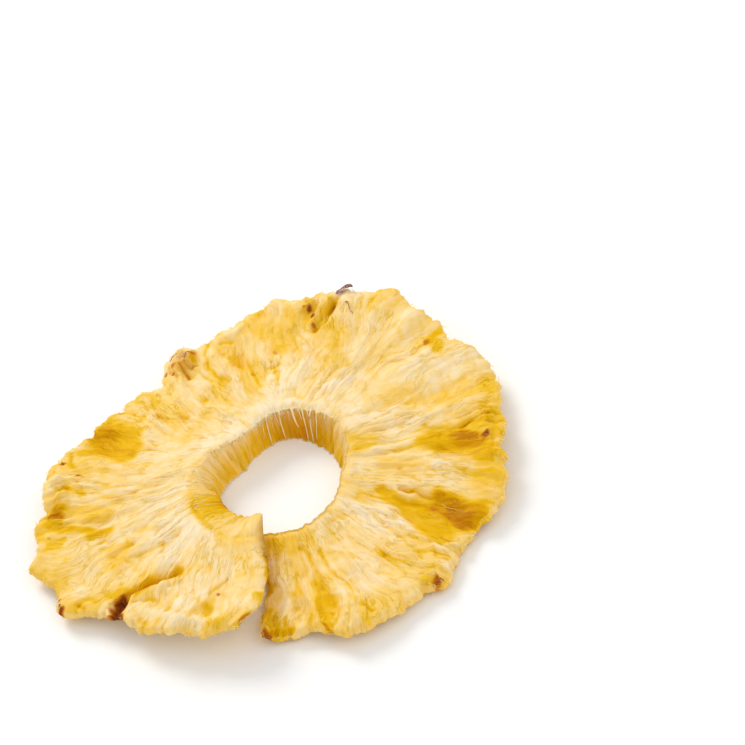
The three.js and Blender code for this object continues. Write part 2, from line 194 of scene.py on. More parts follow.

# Creases and ridges: points of (angle, radius), half width, height, golden share, brown share. The
# golden share is partly painted shade down in the creases and, where negative, painted highlight on
# the ridges; the brown share is partly real browning and partly painted shadow as dark lines along the
# creases.
CREASES = [
    ([(334, 24), (330, 26.5), (327, 29)], 0.4, -0.25, 0.42, 0.1),
    ([(332, 30.5), (329, 35), (327.5, 39), (327, 43)], 0.4, -0.25, 0.24, 0.05),
    ([(333, 35.5), (330.5, 39.5), (329.5, 44)], 0.48, -0.3, 0.42, 0),
    ([(324, 25), (322.5, 28.5), (322, 32)], 0.4, -0.35, 0.48, 0.25),
    ([(356, 29.5), (352, 34), (352.5, 39)], 0.48, -0.35, 0.48, 0.1),
    ([(345.5, 42), (335.5, 42.5)], 0.4, -0.3, 0.42, 0.1),
    ([(319, 32.5), (317.5, 36), (316, 40)], 0.48, -0.3, 0.36, 0.35),
    ([(321.5, 21.5), (317.5, 26.5), (318.5, 31.5)], 0.72, -0.4, 0.48, 0.05),
    ([(307, 22), (304.5, 26.5), (302.5, 31.5), (301.5, 35.5)], 0.4, -0.25, 0.36, 0.1),
    ([(309, 38.5), (308.8, 40.5)], 0.48, -0.2, 0.36, 0.4),
    ([(266.5, 19.5), (269, 22), (269.3, 25), (269.6, 28.5), (270.4, 32.5)], 0.48, -0.3, 0.48, 0.05),
    ([(274.4, 22.3), (274, 25), (275.4, 29.5), (276.8, 32.7)], 0.4, -0.3, 0.48, 0.1),
    ([(276.8, 33.7), (277.8, 36.6), (277.3, 40.8), (279.4, 44)], 0.56, -0.35, 0.54, 0.05),
    ([(266.6, 41.3), (268.5, 43.9)], 0.35, -0.2, 0.36, 0.4),
    ([(256.6, 37), (256.6, 39)], 0.4, -0.2, 0.48, 0.1),
    ([(252, 18.8), (254, 22)], 0.4, -0.2, 0.36, 0.05),
    ([(508.6, 44.8), (511.9, 43.1)], 0.48, -0.3, 0.48, 0.05),
    ([(519.7, 45.4), (521.6, 39.4)], 0.48, -0.25, 0.42, 0.05),
    ([(527.2, 46.7), (528.3, 44.2)], 0.48, -0.3, 0.24, 0.4),
    ([(546, 38.3), (546.4, 36.2), (549.5, 32)], 0.56, -0.25, 0.42, 0),
    ([(551.9, 36.1), (557.3, 34.7)], 0.4, -0.25, 0.42, 0),
    ([(556, 34), (558.2, 30.3), (559.8, 27.2)], 0.4, -0.2, 0.36, 0.1),
    ([(496.4, 30.8), (497.7, 28.4)], 0.4, -0.25, 0.42, 0.1),
    ([(503.2, 30.9), (501.2, 29.2)], 0.35, -0.2, 0.36, 0.15),
    ([(457, 43), (459.4, 40), (460.2, 35.8), (459.8, 32.7), (456.5, 29)], 0.48, -0.3, 0.65, 0),
    ([(453.8, 41), (450.5, 39.8)], 0.48, -0.3, 0.57, 0),
    ([(447.5, 33), (446.4, 27.7), (445, 23.5)], 0.48, -0.25, 0.57, 0),
    ([(450.9, 36), (450.9, 33.5)], 0.72, -0.4, 0.40, 0.02),
    ([(437.4, 27.5), (436.2, 22.5)], 0.35, -0.2, 0.57, 0.05),
    ([(439.9, 28.6), (435.8, 28.8)], 0.4, -0.3, 0.42, 0.1),
    ([(436.9, 32.2), (437.6, 33)], 0.4, -0.2, 0.24, 0.4),
    ([(466.3, 40.7), (466.8, 38.6), (467.2, 36.8)], 0.35, -0.3, 0.36, 0.5),
    ([(461.5, 41.4), (463.5, 41.3), (465, 40.2), (464.5, 38.7), (462.5, 38.2)], 0.35, -0.4, 0.2, 0.4),
    ([(468.5, 43.5), (469.5, 41.5), (469, 39.5)], 0.35, -0.3, 0.2, 0.3),
    ([(465.6, 43), (466, 41.5)], 0.6, 0.5, -0.2, 0),
    ([(468.3, 40), (468.2, 37.5)], 0.6, 0.4, -0.2, 0),
    ([(463.4, 36.3), (462, 32)], 0.4, -0.25, 0.36, 0.1),
    ([(419.2, 43), (421.1, 38.3), (424, 36.8), (425, 37.2)], 0.56, -0.5, 0.57, 0.15),
    ([(433.8, 42.7), (431.7, 39.2)], 0.56, -0.3, 0.36, 0),
    ([(484.5, 34), (483.2, 30.7)], 0.48, -0.3, 0.48, 0.1),
    ([(480.5, 31), (479.1, 28)], 0.48, -0.3, 0.48, 0.1),
    ([(468.9, 28.8), (472.8, 25.5)], 0.4, -0.15, 0.24, 0),
    ([(593.2, 34.4), (595, 32), (597, 30)], 0.35, -0.25, 0.36, 0.2),
    ([(572.3, 40.6), (577, 38.3)], 0.48, -0.3, 0.48, 0.1),
    ([(557.7, 48), (560.5, 47.1)], 0.48, -0.3, 0.48, 0.15),
    ([(567, 39.8), (569.5, 37), (572, 34), (576, 30.5)], 0.35, -0.2, 0.5, 0.35),
    ([(320, 33), (316.5, 35.5), (312, 38.5)], 0.4, 0.3, -0.3, 0),
    ([(316.5, 30), (314, 34), (310.5, 37)], 0.35, 0.25, -0.22, 0),
    ([(321, 38), (320.5, 42), (318, 44)], 0.45, 0.3, -0.3, 0.05),
    ([(351, 18.7), (341, 24), (335.5, 32.5)], 0.56, 0.4, -0.3, 0),
    ([(339, 19), (334, 28.5)], 0.48, 0.3, -0.18, 0),
    ([(330, 30), (328, 37), (326, 44.5)], 0.64, 0.35, -0.18, 0),
    ([(373.5, 21), (371.5, 25), (369, 28.5)], 0.64, 0.35, -0.24, 0),
    ([(322.5, 24.5), (320.5, 28)], 0.64, 0.45, -0.35, 0),
    ([(310, 28.5), (307, 34.5), (305.5, 40), (309, 43)], 0.8, 0.5, -0.3, 0),
    ([(347, 41.5), (345.4, 40.8)], 0.56, 0.5, -0.48, 0),
    ([(495, 39), (497, 36.5)], 0.35, 0.2, -0.42, 0),
    ([(453, 42.5), (447, 41.5)], 0.64, 0.4, -0.18, 0),
    ([(519.8, 46.9), (520, 46)], 1.0, 0.4, -0.15, 0),
    ([(573, 43), (573.5, 40.5)], 0.4, 0.4, -0.3, 0),
    ([(578.5, 41.5), (589.5, 42), (599, 41.5)], 1.28, 0.5, -0.36, 0),
    ([(528.5, 46.7), (530.6, 43.4)], 0.35, 0.25, -0.36, 0),
    ([(441, 26), (443, 24)], 0.96, 0.2, -0.3, 0),
]
CREASE_HEIGHT, CREASE_GOLD_AND_SHADE, CREASE_BROWN_AND_SHADOW = 2, 3, 4

# Where sugar has left the flesh clear and golden: points of (angle, radius), half width, level.
GOLDEN_PATCHES = [
    ([(497, 41.5), (502, 38.5), (504.5, 33.5)], 3.2, 0.83),
    ([(495, 40), (495, 35.5), (500, 34)], 2.7, 0.78),
    ([(506.5, 43.5), (505, 41)], 1.4, 0.75),
    ([(496, 41), (499, 39.5)], 1.7, 0.88),
    ([(525.5, 45), (528, 46)], 2.1, 0.94),
    ([(530.7, 47), (532, 45)], 1.6, 0.76),
    ([(531.5, 44), (534.8, 40), (538, 38), (539.5, 35)], 1.6, 0.75),
    ([(527, 42), (530, 36)], 1.7, 0.58),
    ([(536.5, 47.5), (537, 45)], 1.3, 0.72),
    ([(547, 49), (552, 50)], 2.0, 0.55),
    ([(540, 35), (540.4, 34)], 0.9, 0.55),
    ([(554, 38), (551, 36)], 2.0, 0.55),
    ([(337, 21.5), (334.5, 24.5), (333, 27)], 2.4, 0.46),
    ([(346.5, 30.5), (343.5, 34), (343, 39), (339, 40.5)], 3.3, 0.80),
    ([(347.5, 35), (345.5, 39)], 1.6, 0.96),
    ([(350.5, 38), (348.5, 42)], 1.8, 0.70),
    ([(321.4, 21.3), (318, 26.5)], 1.0, 0.76),
    ([(316, 29), (313.5, 33.5), (311, 38)], 2.7, 0.75),
    ([(319, 34), (318.5, 40), (320, 43)], 3.0, 0.89),
    ([(318.5, 36.5), (316.5, 40)], 1.8, 0.96),
    ([(330, 42), (336, 44)], 2.8, 0.60),
    ([(251, 17.5), (260, 18.5)], 3.0, 0.64),
    ([(269.3, 35), (269.8, 38)], 2.3, 0.76),
    ([(269.5, 30), (270, 32)], 1.7, 0.70),
    ([(249.5, 24.5), (251, 29)], 0.8, 0.84),
    ([(248.5, 40.5), (252, 40), (257.5, 40.3)], 1.5, 0.88),
    ([(251.5, 35), (252, 38)], 1.4, 0.72),
    ([(266, 25), (258, 24)], 2.4, 0.48),
    ([(278, 41), (283, 44)], 1.6, 0.55),
    ([(593.5, 37), (595, 38.7)], 1.6, 0.70),
    ([(568, 39.5), (570.5, 36), (573.5, 33), (576, 31)], 1.3, 0.82),
    ([(599.5, 42), (600, 41)], 1.3, 0.62),
    ([(441, 39.5), (436.5, 38), (436, 34.5)], 3.2, 0.58),
    ([(450.5, 38), (451, 34)], 3.0, 0.50),
    ([(446.5, 30), (449, 24)], 2.2, 0.52),
    ([(427, 42), (425.3, 39.5)], 1.2, 0.66),
    ([(420, 42.5), (423.5, 37.5)], 0.9, 0.66),
    ([(433.5, 42), (432, 40)], 1.5, 0.60),
    ([(388, 44), (388, 41.5), (384, 40.5)], 1.5, 0.76),
    ([(369, 33.5), (364, 34.5)], 1.4, 0.54),
    ([(353, 42.5), (353.5, 40.5)], 1.3, 0.70),
    ([(357, 15), (357, 18)], 2.4, 0.64),
    ([(563, 41.5), (566, 40.5)], 1.9, 0.75),
    ([(462.8, 40.4), (463.4, 39.5)], 1.1, 0.82),
    ([(464, 39), (468, 40)], 3.0, 0.52),
    ([(296.5, 45), (298, 43.5)], 2.0, 0.64),
    ([(481, 35), (479, 30)], 2.2, 0.52),
    ([(556, 50), (558, 48)], 1.6, 0.62),
]

# How golden the hole's wall is.
WALL_GOLD = [
    (246, 0.55), (262, 0.54), (285, 0.44), (385, 0.46), (402, 0.56), (455, 0.52), (480, 0.42),
    (500, 0.36), (530, 0.46), (545, 0.70), (556, 0.92), (566, 0.82), (580, 0.56), (606, 0.52),
]

# Painted shade on the hole's far wall, which faces away from the key light, painted in brown: the
# angle where it is strongest, how far that spreads, and its share.
FAR_WALL_SHADE_ANGLE = 422
FAR_WALL_SHADE_SPREAD = 34
FAR_WALL_SHADE_SHARE = 0.26

# Places that dried without wrinkles: angle, radius, half length, half width, share.
CALM_PLACES = [
    (588, 42.0, 3.5, 10.0, 0.7),
    (405, 30.0, 9.0, 7.0, 0.4),
    (512, 26.0, 7.0, 5.0, 0.4),
]

# Places combed into long fine ridges: angle, radius, half length, half width, share.
COMBED_PLACES = [
    (333, 31.0, 15.0, 8.0, 1.0),
    (303, 30.0, 12.0, 9.0, 0.8),
    (265, 27.0, 9.0, 5.0, 0.7),
    (357, 24.0, 7.0, 5.0, 0.7),
]

# Dark dry curls of skin: angle, radius, turn, run outward, rise and half thickness.
SKIN_CURLS = [
    (416.2, 42.6, -3.2, -2.2, 0.35, 0.13),
    (426.0, 41.6, 1.3, 0.5, 0.25, 0.12),
    (424.9, 39.6, 1.0, 0.6, 0.20, 0.11),
    (465.6, 45.4, 2.0, -0.6, 0.20, 0.12),
    (462.5, 41.6, 2.4, 0.8, 0.25, 0.11),
    (515.0, 41.6, 1.4, -1.3, 0.10, 0.09),
    (511.2, 45.4, -1.0, 0.9, 0.12, 0.10),
    (296.8, 45.6, 1.4, 0.5, 0.25, 0.16),
    (345.2, 40.8, 1.6, 0.6, 0.25, 0.14),
    (554.6, 50.0, 1.2, 0.6, 0.15, 0.15),
]

# The papery scale's place on the far edge.
SCALE_ANGLE = 417
SCALE_RADIUS = 46.2

# The thick strands on the hole's far wall: angle, lowest part of the wall, half thickness.
THICK_STRANDS = [
    (452, 0.30, 0.10),
    (446, 0.05, 0.20),
    (439, 0.45, 0.11),
    (435, 0.08, 0.22),
    (430, 0.55, 0.10),
    (425.5, 0.35, 0.30),
    (421, 0.60, 0.12),
    (417, 0.02, 0.22),
    (413, 0.45, 0.10),
    (409.5, 0.10, 0.19),
    (404, 0.15, 0.17),
    (397, 0.45, 0.12),
]

# The kinds of loose strands: seed, how many, and how many points there are along each.
STRANDS = {
    "edge_fibres": (3, 1100, 5),
    "flank_fibres": (4, 170, 5),
    "rim_shreds": (5, 240, 5),
    "wall_strands": (8, 40, 9),
    "loose_threads": (12, 50, 9),
}
STRAND_SIDES = 5
STRAND_HELPER = (0.31, 0.17, 0.93)

# Browned and dirty specks: angle, radius, half size, share.
BROWN_PLACES = [
    (567.6, 41.6, 1.9, 1.0),
    (568.6, 43.6, 2.0, 1.0),
    (296.5, 45.4, 1.1, 0.85),
    (346, 40.6, 0.9, 0.75),
    (353, 41.8, 0.7, 0.5),
    (426.6, 41.4, 0.7, 0.9),
    (425.4, 39.9, 0.6, 0.8),
    (428.0, 42.2, 0.6, 0.6),
    (424.8, 37.8, 0.6, 0.5),
    (463.6, 45.2, 0.7, 0.6),
    (469.8, 40.6, 0.5, 0.7),
    (465, 44.6, 0.9, 0.6),
    (462, 41.0, 0.7, 0.6),
    (468, 42.0, 0.7, 0.5),
    (466, 41.0, 3.4, 0.17),
    (470.8, 42.6, 0.5, 0.6),
    (426, 41.0, 2.4, 0.15),
    (511, 45.6, 0.6, 0.7),
    (515, 41.8, 0.6, 0.7),
    (556, 50.6, 1.1, 0.85),
    (553, 49.8, 0.8, 0.7),
    (249.5, 40.6, 1.5, 0.7),
    (439, 30.3, 0.5, 0.3),
    (596, 34.0, 0.45, 0.5),
    (388, 40.6, 0.9, 0.5),
]

# The flesh from cream to deep amber, and the tones of the two kinds of skin, darkest first.
FLESH_TONES = [
    (0.00, (253, 230, 191)), (0.18, (252, 223, 168)), (0.36, (250, 213, 136)),
    (0.52, (247, 202, 96)), (0.66, (240, 192, 48)), (0.78, (234, 181, 4)),
    (0.90, (221, 160, 0)), (1.00, (196, 127, 0)),
]
MAUVE_TONES = [
    (0.30, (66, 36, 26)), (0.45, (136, 92, 78)), (0.60, (200, 162, 150)), (0.75, (228, 200, 178)),
]
BROWN_TONES = [
    (0.30, (120, 60, 26)), (0.45, (170, 100, 54)), (0.60, (208, 148, 88)), (0.75, (234, 190, 120)),
]

# Soft lights: name, direction, size, power and colour.
LIGHTS = [
    ("key", (-0.25, 0.75, 0.62), 0.5, 4.6, (1.0, 0.99, 0.97)),
    ("fill", (0.5, -0.6, 0.6), 0.9, 1.7, (1.0, 1.0, 1.0)),
]
LIGHT_DISTANCE = 1.0
SKY_STRENGTH = 0.72


def lattice(column, row, seed):
    """A repeatable value from -1 to 1 for each point of a whole-number grid."""
    low = np.uint64(0xFFFFFFFF)
    column = column.astype(np.int64).astype(np.uint64) & low
    row = row.astype(np.int64).astype(np.uint64) & low
    mixed = column * np.uint64(374761393) + row * np.uint64(668265263)
    mixed = (mixed + np.uint64(seed * 974634777)) & low
    stirred = ((mixed ^ (mixed >> np.uint64(13))) * np.uint64(1274126177)) & low
    return (stirred ^ (stirred >> np.uint64(16))).astype(float) / 2147483648 - 1


def fade(part):
    return part ** 3 * (part * (part * 6 - 15) + 10)


def noise(x, y, seed):
    """Smooth noise from -1 to 1."""
    x, y = np.broadcast_arrays(np.asarray(x, float), np.asarray(y, float))
    column, row = np.floor(x), np.floor(y)
    across, along = fade(x - column), fade(y - row)
    near = lattice(column, row, seed) * (1 - across) + lattice(column + 1, row, seed) * across
    far = lattice(column, row + 1, seed) * (1 - across)
    far = far + lattice(column + 1, row + 1, seed) * across
    return near * (1 - along) + far * along


def smoothstep(low, high, value):
    part = np.clip((value - low) / (high - low), 0, 1)
    return part * part * (3 - 2 * part)


def lerp(start, end, part):
    return start + (end - start) * part


def bell(distance, width):
    """1 at a distance of 0, fading to nothing at about twice the width."""
    return np.exp(-(distance / width) ** 2)


def hump(part):
    """0 at both ends of a run from 0 to 1, and 1 in its middle."""
    return np.sin(np.pi * part)


def ridged(x, y, seed):
    """Round backs with sharp valleys between them, from -0.3 to 0.7."""
    return np.abs(noise(x, y, seed)) - 0.3


def flat_place(angle, radius):
    turn = np.radians(angle)
    return radius * np.cos(turn), radius * np.sin(turn)


def follow(stations, angle):
    """A smooth curve through stations of (angle, value)."""
    places, values = np.array(stations, float).T
    index = np.clip(np.searchsorted(places, angle, side="left") - 1, 0, len(places) - 2)
    before, after = np.maximum(index - 1, 0), np.minimum(index + 2, len(places) - 1)
    span = places[index + 1] - places[index]
    start_slope = (values[index + 1] - values[before]) / (places[index + 1] - places[before])
    end_slope = (values[after] - values[index]) / (places[after] - places[index])
    part = np.clip((angle - places[index]) / span, 0, 1)
    square, cube = part ** 2, part ** 3
    curve = (2 * cube - 3 * square + 1) * values[index]
    curve = curve + (cube - 2 * square + part) * span * start_slope
    curve = curve + (3 * square - 2 * cube) * values[index + 1]
    return curve + (cube - square) * span * end_slope


def bent_angle(angle, across):
    """Where a section lies once the ring is bent along its winding cut."""
    reached = np.clip(across, 0, 1) ** CUT_POWER
    shift = CUT_LEAN + CUT_SWING * np.sin(CUT_TURNING * np.pi * reached)
    distance = np.minimum(angle - CUT_START, CUT_END - angle)
    return angle + shift * (1 - smoothstep(0, CUT_REACH, distance))


def torn_flank(radius, side):
    """How far a flank of the cut is torn back or forward, in millimetres."""
    ragged = 0.30 * noise(radius / 1.3, 3 * side, 75) + 0.35 * noise(radius / 3.4, 3 * side, 76)
    return ragged * smoothstep(14, 19, radius)


def half_gap(across):
    return lerp(-CUT_LAP, CUT_MOUTH, smoothstep(CUT_MOUTH_START, 1, across)) / 2


def place_weight(angle, radius, place, inner, outer):
    """1 in the middle of a named place, 0 outside it."""
    centre_angle, centre_radius, half_length, half_width = place[:4]
    turn = np.radians(angle - centre_angle)
    along = (radius * np.cos(turn) - centre_radius) / half_length
    across = radius * np.sin(turn) / half_width
    return 1 - smoothstep(inner, outer, np.hypot(along, across))


def mounds(places, angle, radius):
    total = 0
    for place in places:
        total = total + place[4] * place_weight(angle, radius, place, 0.45, 1.25)
    return total


def stroke_distance(points, angle, radius):
    """How far a place is from a stroke through points of (angle, radius), in millimetres."""
    x, y = flat_place(angle, radius)
    corners = [flat_place(*point) for point in points]
    nearest = np.full(np.shape(x), 1e9)
    for (from_x, from_y), (to_x, to_y) in zip(corners, corners[1:]):
        run_x, run_y = to_x - from_x, to_y - from_y
        along = ((x - from_x) * run_x + (y - from_y) * run_y) / (run_x ** 2 + run_y ** 2)
        along = np.clip(along, 0, 1)
        distance = np.hypot(x - from_x - along * run_x, y - from_y - along * run_y)
        nearest = np.minimum(nearest, distance)
    return nearest


def crease_sum(angle, radius, column):
    """The creases' and ridges' height, golden share or brown share at a place, by column."""
    wavy_angle = angle + 0.7 * noise(angle / 2.5, radius / 1.8, 72)
    wavy_radius = radius + 0.3 * noise(angle / 2.0, radius / 1.5, 73)
    total = 0
    for crease in CREASES:
        if crease[column]:
            distance = stroke_distance(crease[0], wavy_angle, wavy_radius)
            total = total + crease[column] * bell(distance, crease[1])
    return total


def with_patches(share, angle, radius):
    """A golden share raised to the golden patches' levels, with ragged edges along the fibres."""
    ragged_angle = angle + 1.8 * noise(angle / 4, radius / 7, 67)
    ragged_angle = ragged_angle + 1.0 * noise(angle / 1.6, radius / 4, 74)
    ragged_radius = radius + 0.9 * noise(angle / 5, radius / 3, 68)
    for points, half_width, level in GOLDEN_PATCHES:
        distance = stroke_distance(points, ragged_angle, ragged_radius) / half_width
        softness = 0.35 if level > 0.7 else 0.7
        core = 1 - smoothstep(0.9 - softness, 0.9 + softness, distance)
        weight = np.clip(0.8 * core + 0.25 * bell(distance, 1.4), 0, 1)
        share = share + weight * np.maximum(0, level - share)
    return share


def fold_parts(fold, angle, radius):
    """How far along a fold a point is, and how far beside it."""
    x, y = flat_place(angle, radius)
    start, end = (np.array(flat_place(*corner)) for corner in fold[:2])
    run = end - start
    length = float(np.hypot(*run))
    part = ((x - start[0]) * run[0] + (y - start[1]) * run[1]) / length ** 2
    side = ((x - start[0]) * run[1] - (y - start[1]) * run[0]) / length
    return part, side


def folds(angle, radius):
    """Sharp folds: a slope down to a line, and a steep lip beyond it."""
    total = 0
    for fold in FOLDS:
        part, side = fold_parts(fold, angle, radius)
        half_width, drop, lip = fold[2:]
        ends = smoothstep(-0.15, 0.2, part) * (1 - smoothstep(0.75, 1.15, part))
        reach = np.where(side < 0, half_width, 0.4 * half_width)
        ridge = bell(side - 1.5 * half_width, 0.9 * half_width)
        total = total + ends * (lip * ridge - drop * bell(side, reach))
    return total


def fibre_angle(angle, radius):
    """The angle that a fibre through this place would have if it ran straight out."""
    slow = 5 * noise(angle / 30, radius / 14, 11)
    bends = 2.2 * noise(angle / 11, radius / 7.5, 12)
    return angle + slow + bends + 0.9 * noise(angle / 4, radius / 3.6, 13)


def fibre_relief(angle, radius, across):
    wander = 5 * noise(angle / 30, radius / 14, 11)
    bundle = noise((angle + wander) / 4.5, radius / 11, 1)
    rib = 1 - 2 * np.abs(noise((angle + wander) / 8, radius / 17, 2))
    strength = smoothstep(0.02, 0.25, across) * (0.7 + 0.6 * across)
    return strength * (FIBRE_HEIGHT * bundle + RIB_HEIGHT * rib)


def wrinkles(angle, radius):
    """Round-backed wrinkles with sharp valleys between them, from 0 in a valley to about 1."""
    turned = fibre_angle(angle, radius)
    inner = np.abs(noise(turned / 5.6, radius / 7, 31))
    outer = np.abs(noise(turned / 3.1, radius / 8, 32))
    outward = smoothstep(18, 30, radius)
    return lerp(inner, outer, outward)


def wrinkled_share(angle, radius):
    """How strongly a place has shrivelled, from 0.25 to 1."""
    return lerp(0.25, 1.0, smoothstep(-0.45, 0.4, noise(angle / 13, radius / 8, 36)))


def combed_ridges(angle, radius):
    """Long fine ridges, from 0 in a valley to about 1."""
    turned = angle + 4 * noise(angle / 30, radius / 14, 11) + 2.0 * noise(angle / 9, radius / 8, 14)
    return np.abs(noise(turned / 1.9, radius / 12, 54))


def crinkle(angle, radius):
    """Small crumpled folds that follow no fibre, from about -0.4 to 1."""
    x, y = flat_place(angle, radius)
    x = x + 0.9 * noise(x / 2.2, y / 2.2, 37)
    y = y + 0.9 * noise(x / 2.2, y / 2.2, 38)
    return ridged(x / 2.3, y / 2.3, 39) + 0.4 * ridged(x / 1.1, y / 1.1, 40)


def crumbs(angle, radius):
    """Fine crumpling for the lumps of skin along the edge."""
    x, y = flat_place(angle, radius)
    return 1.3 * ridged(x / 1.2, y / 1.2, 55)


def fine_relief(angle, radius, across):
    """Wrinkles along the fibres, small folds across them, crumpled lumps and creases."""
    turned = fibre_angle(angle, radius)
    place = bent_angle(angle, across)
    smooth = np.clip(mounds(HOLLOWS, place, radius) + mounds(CALM_PLACES, place, radius), 0, 1)
    strength = smoothstep(0.01, 0.14, across) * (0.75 + 0.35 * across) * (1 - 0.6 * smooth)
    strength = strength * wrinkled_share(angle, radius)
    folded = 0.85 * (wrinkles(angle, radius) - 0.3)
    narrow = 0.36 * ridged(turned / 1.7, radius / 5.0, 33)
    combed = np.clip(mounds(COMBED_PLACES, place, radius), 0, 1)
    folded = folded * (1 - 0.5 * combed)
    narrow = narrow + 0.80 * combed * (combed_ridges(angle, radius) - 0.3)
    crumpled = 0.45 * crinkle(angle, radius) * smoothstep(-0.3, 0.5, noise(angle / 10, radius / 6, 48))
    crumpled = crumpled * (1 - 0.85 * combed)
    cross = 0.14 * noise(turned / 5, radius / 1.7, 34) * smoothstep(0.15, 0.8, across)
    lumps = (1.3 * crinkle(angle, radius) + crumbs(angle, radius)) * mounds(LUMPS, place, radius)
    creased = crease_sum(place, radius, CREASE_HEIGHT)
    return strength * (folded + narrow + cross + crumpled) + lumps + creased


def section_sizes(angle):
    """Everything about one radial section that doesn't change along it."""
    hole_angle, outer_angle = bent_angle(angle, 0.0), bent_angle(angle, 1.0)
    fluted = 0.25 * noise(angle / 4, 0, 23)
    ragged = 0.3 * noise(angle / 2.4, 0, 22)
    torn = 0.20 * noise(angle / 1.1, 0, 41) + 0.9 * ridged(angle / 3.1, 0, 42)
    torn = torn + 0.4 * ridged(angle / 1.5, 0, 49)
    reach = follow(REACH, outer_angle) + ragged + torn
    edge_thickness = follow(EDGE_THICKNESS, outer_angle)
    return {
        "angle": angle,
        "reach": reach,
        "top_reach": reach - TOP_INSET * edge_thickness,
        "under_reach": reach - UNDER_INSET * edge_thickness,
        "edge_top": follow(EDGE_TOP, outer_angle) + 0.4 * noise(angle / 6, 0, 24),
        "edge_thickness": edge_thickness,
        "rim_radius": follow(RIM_RADIUS, hole_angle) + fluted + 0.14 * noise(angle / 1.7, 0, 43),
        "rim_height": follow(RIM_HEIGHT, hole_angle),
        "ledge_radius": follow(LEDGE_RADIUS, hole_angle) - fluted,
        "ledge_height": follow(LEDGE_HEIGHT, hole_angle),
        "foot_radius": follow(FOOT_RADIUS, hole_angle) + fluted + 0.16 * noise(angle / 2.1, 0, 44),
        "foot_height": np.maximum(0, follow(FOOT_HEIGHT, hole_angle)),
    }


def plain_top(sizes, across):
    run = lerp(sizes["rim_height"], sizes["edge_top"], across)
    return run - DISH_DEPTH * hump(across ** 0.8)


def edge_drop(sizes, across):
    part = np.maximum(0, (across - EDGE_ROUNDING_START) / (1 - EDGE_ROUNDING_START))
    return EDGE_ROUNDING * sizes["edge_thickness"] * part ** 2


def flank_part(sizes, radius, width):
    """1 on a flank of the cut, 0 from the given width in millimetres away from it."""
    turn = np.minimum(sizes["angle"] - CUT_START, CUT_END - sizes["angle"])
    return np.clip(1 - np.radians(turn) * radius / width, 0, 1)


def flank_drop(sizes, radius):
    """How far the upper face has turned down towards a flank of the cut."""
    return FLANK_DROP * flank_part(sizes, radius, FLANK_ROUNDING) ** 2


def flap_part(sizes, radius):
    """1 on the flank of the upper flap, 0 away from it and on the other flank."""
    over = sizes["angle"] > (CUT_START + CUT_END) / 2
    return np.where(over, flank_part(sizes, radius, FLAP_TAPER) ** 1.3, 0)


def foot_of(sizes):
    """The height of the wall's foot, raised along the flap's flank."""
    rim_height = sizes["rim_height"] - flank_drop(sizes, sizes["rim_radius"])
    room = np.maximum(0, rim_height - sizes["foot_height"] - FLAP_EDGE)
    return sizes["foot_height"] + flap_part(sizes, sizes["foot_radius"]) * room


def top_height(sizes, across, radius):
    angle = bent_angle(sizes["angle"], across)
    middle = hump(np.clip(across, 0, 1))
    wave = WAVE_HEIGHT * middle * noise(sizes["angle"] / 24, radius / 16, 3)
    from_rim = radius - sizes["rim_radius"]
    collar = COLLAR_HEIGHT * bell(from_rim, COLLAR_WIDTH)
    collar = collar - RIM_ROUNDING * bell(from_rim, RIM_ROUNDING_WIDTH)
    height = plain_top(sizes, across) - edge_drop(sizes, across) + wave + collar
    height = height + fibre_relief(sizes["angle"], radius, across)
    height = height + mounds(LUMPS, angle, radius) - mounds(HOLLOWS, angle, radius)
    height = height + folds(angle, radius)
    height = height + fine_relief(sizes["angle"], radius, across)
    return height - flank_drop(sizes, radius)


def bottom_height(sizes, across, radius):
    """The underside, raised along the flap's flank so that the flap ends thin."""
    plain = plain_bottom(sizes, across, radius)
    room = np.maximum(0, top_height(sizes, across, radius) - plain - FLAP_EDGE)
    return plain + flap_part(sizes, radius) * room


def plain_bottom(sizes, across, radius):
    core_thickness = sizes["rim_height"] - sizes["foot_height"]
    thickness = lerp(core_thickness, sizes["edge_thickness"], across ** THINNING_POWER)
    sunk = UNDERSIDE_SINK * hump(np.minimum(across + 0.25, 1))
    uneven = 0.35 * noise(sizes["angle"] / 12, across * 4, 5) * across
    plain = np.maximum(0, plain_top(sizes, across) - thickness - sunk + uneven)
    turned = fibre_angle(sizes["angle"], radius)
    grooves = 0.22 * np.maximum(0, noise(turned / 2.2, radius / 9, 51))
    grooves = grooves + 0.14 * np.maximum(0, noise(turned / 1.1, radius / 6, 52))
    return plain + grooves * hump(across) ** 0.5


def smooth_path(values, parts):
    """A smooth curve, at parts from 0 to 1, through a few evenly spaced values."""
    count = len(values) - 1
    stack = np.stack(np.broadcast_arrays(*values, parts)[:-1])
    stations = np.broadcast_to(parts * count, stack.shape[1:])
    index = np.clip(np.floor(stations).astype(int), 0, count - 1)
    local = stations - index

    def at(shifted):
        return np.take_along_axis(stack, np.clip(shifted, 0, count)[None], axis=0)[0]

    before, start, end, after = at(index - 1), at(index), at(index + 1), at(index + 2)
    square, cube = local ** 2, local ** 3
    curve = (2 * cube - 3 * square + 1) * start + (cube - 2 * square + local) * (end - before) / 2
    return curve + (3 * square - 2 * cube) * end + (cube - square) * (after - start) / 2


def top_loop(sizes):
    across = np.linspace(0, 1, TOP_STEPS + 1)[None, :]
    radius = lerp(sizes["rim_radius"], sizes["top_reach"], across)
    return radius, top_height(sizes, across, radius), across + 0 * radius


def edge_loop(sizes, top_end, bottom_start):
    """The outer edge, from just under the upper face's end to just above the underside."""
    parts = (np.arange(1, EDGE_STEPS) / EDGE_STEPS)[None, :]
    inset_stations = [(0, TOP_INSET), (0.3, 0.0), (0.75, 0.03), (1, UNDER_INSET)]
    inset = follow(inset_stations, parts) * sizes["edge_thickness"]
    lumpy = 0.28 * noise(sizes["angle"] / 1.4, parts * 3, 45) * hump(parts)
    radius = sizes["reach"] - inset + lumpy
    return radius, lerp(top_end, bottom_start, parts), 1 + 0 * radius


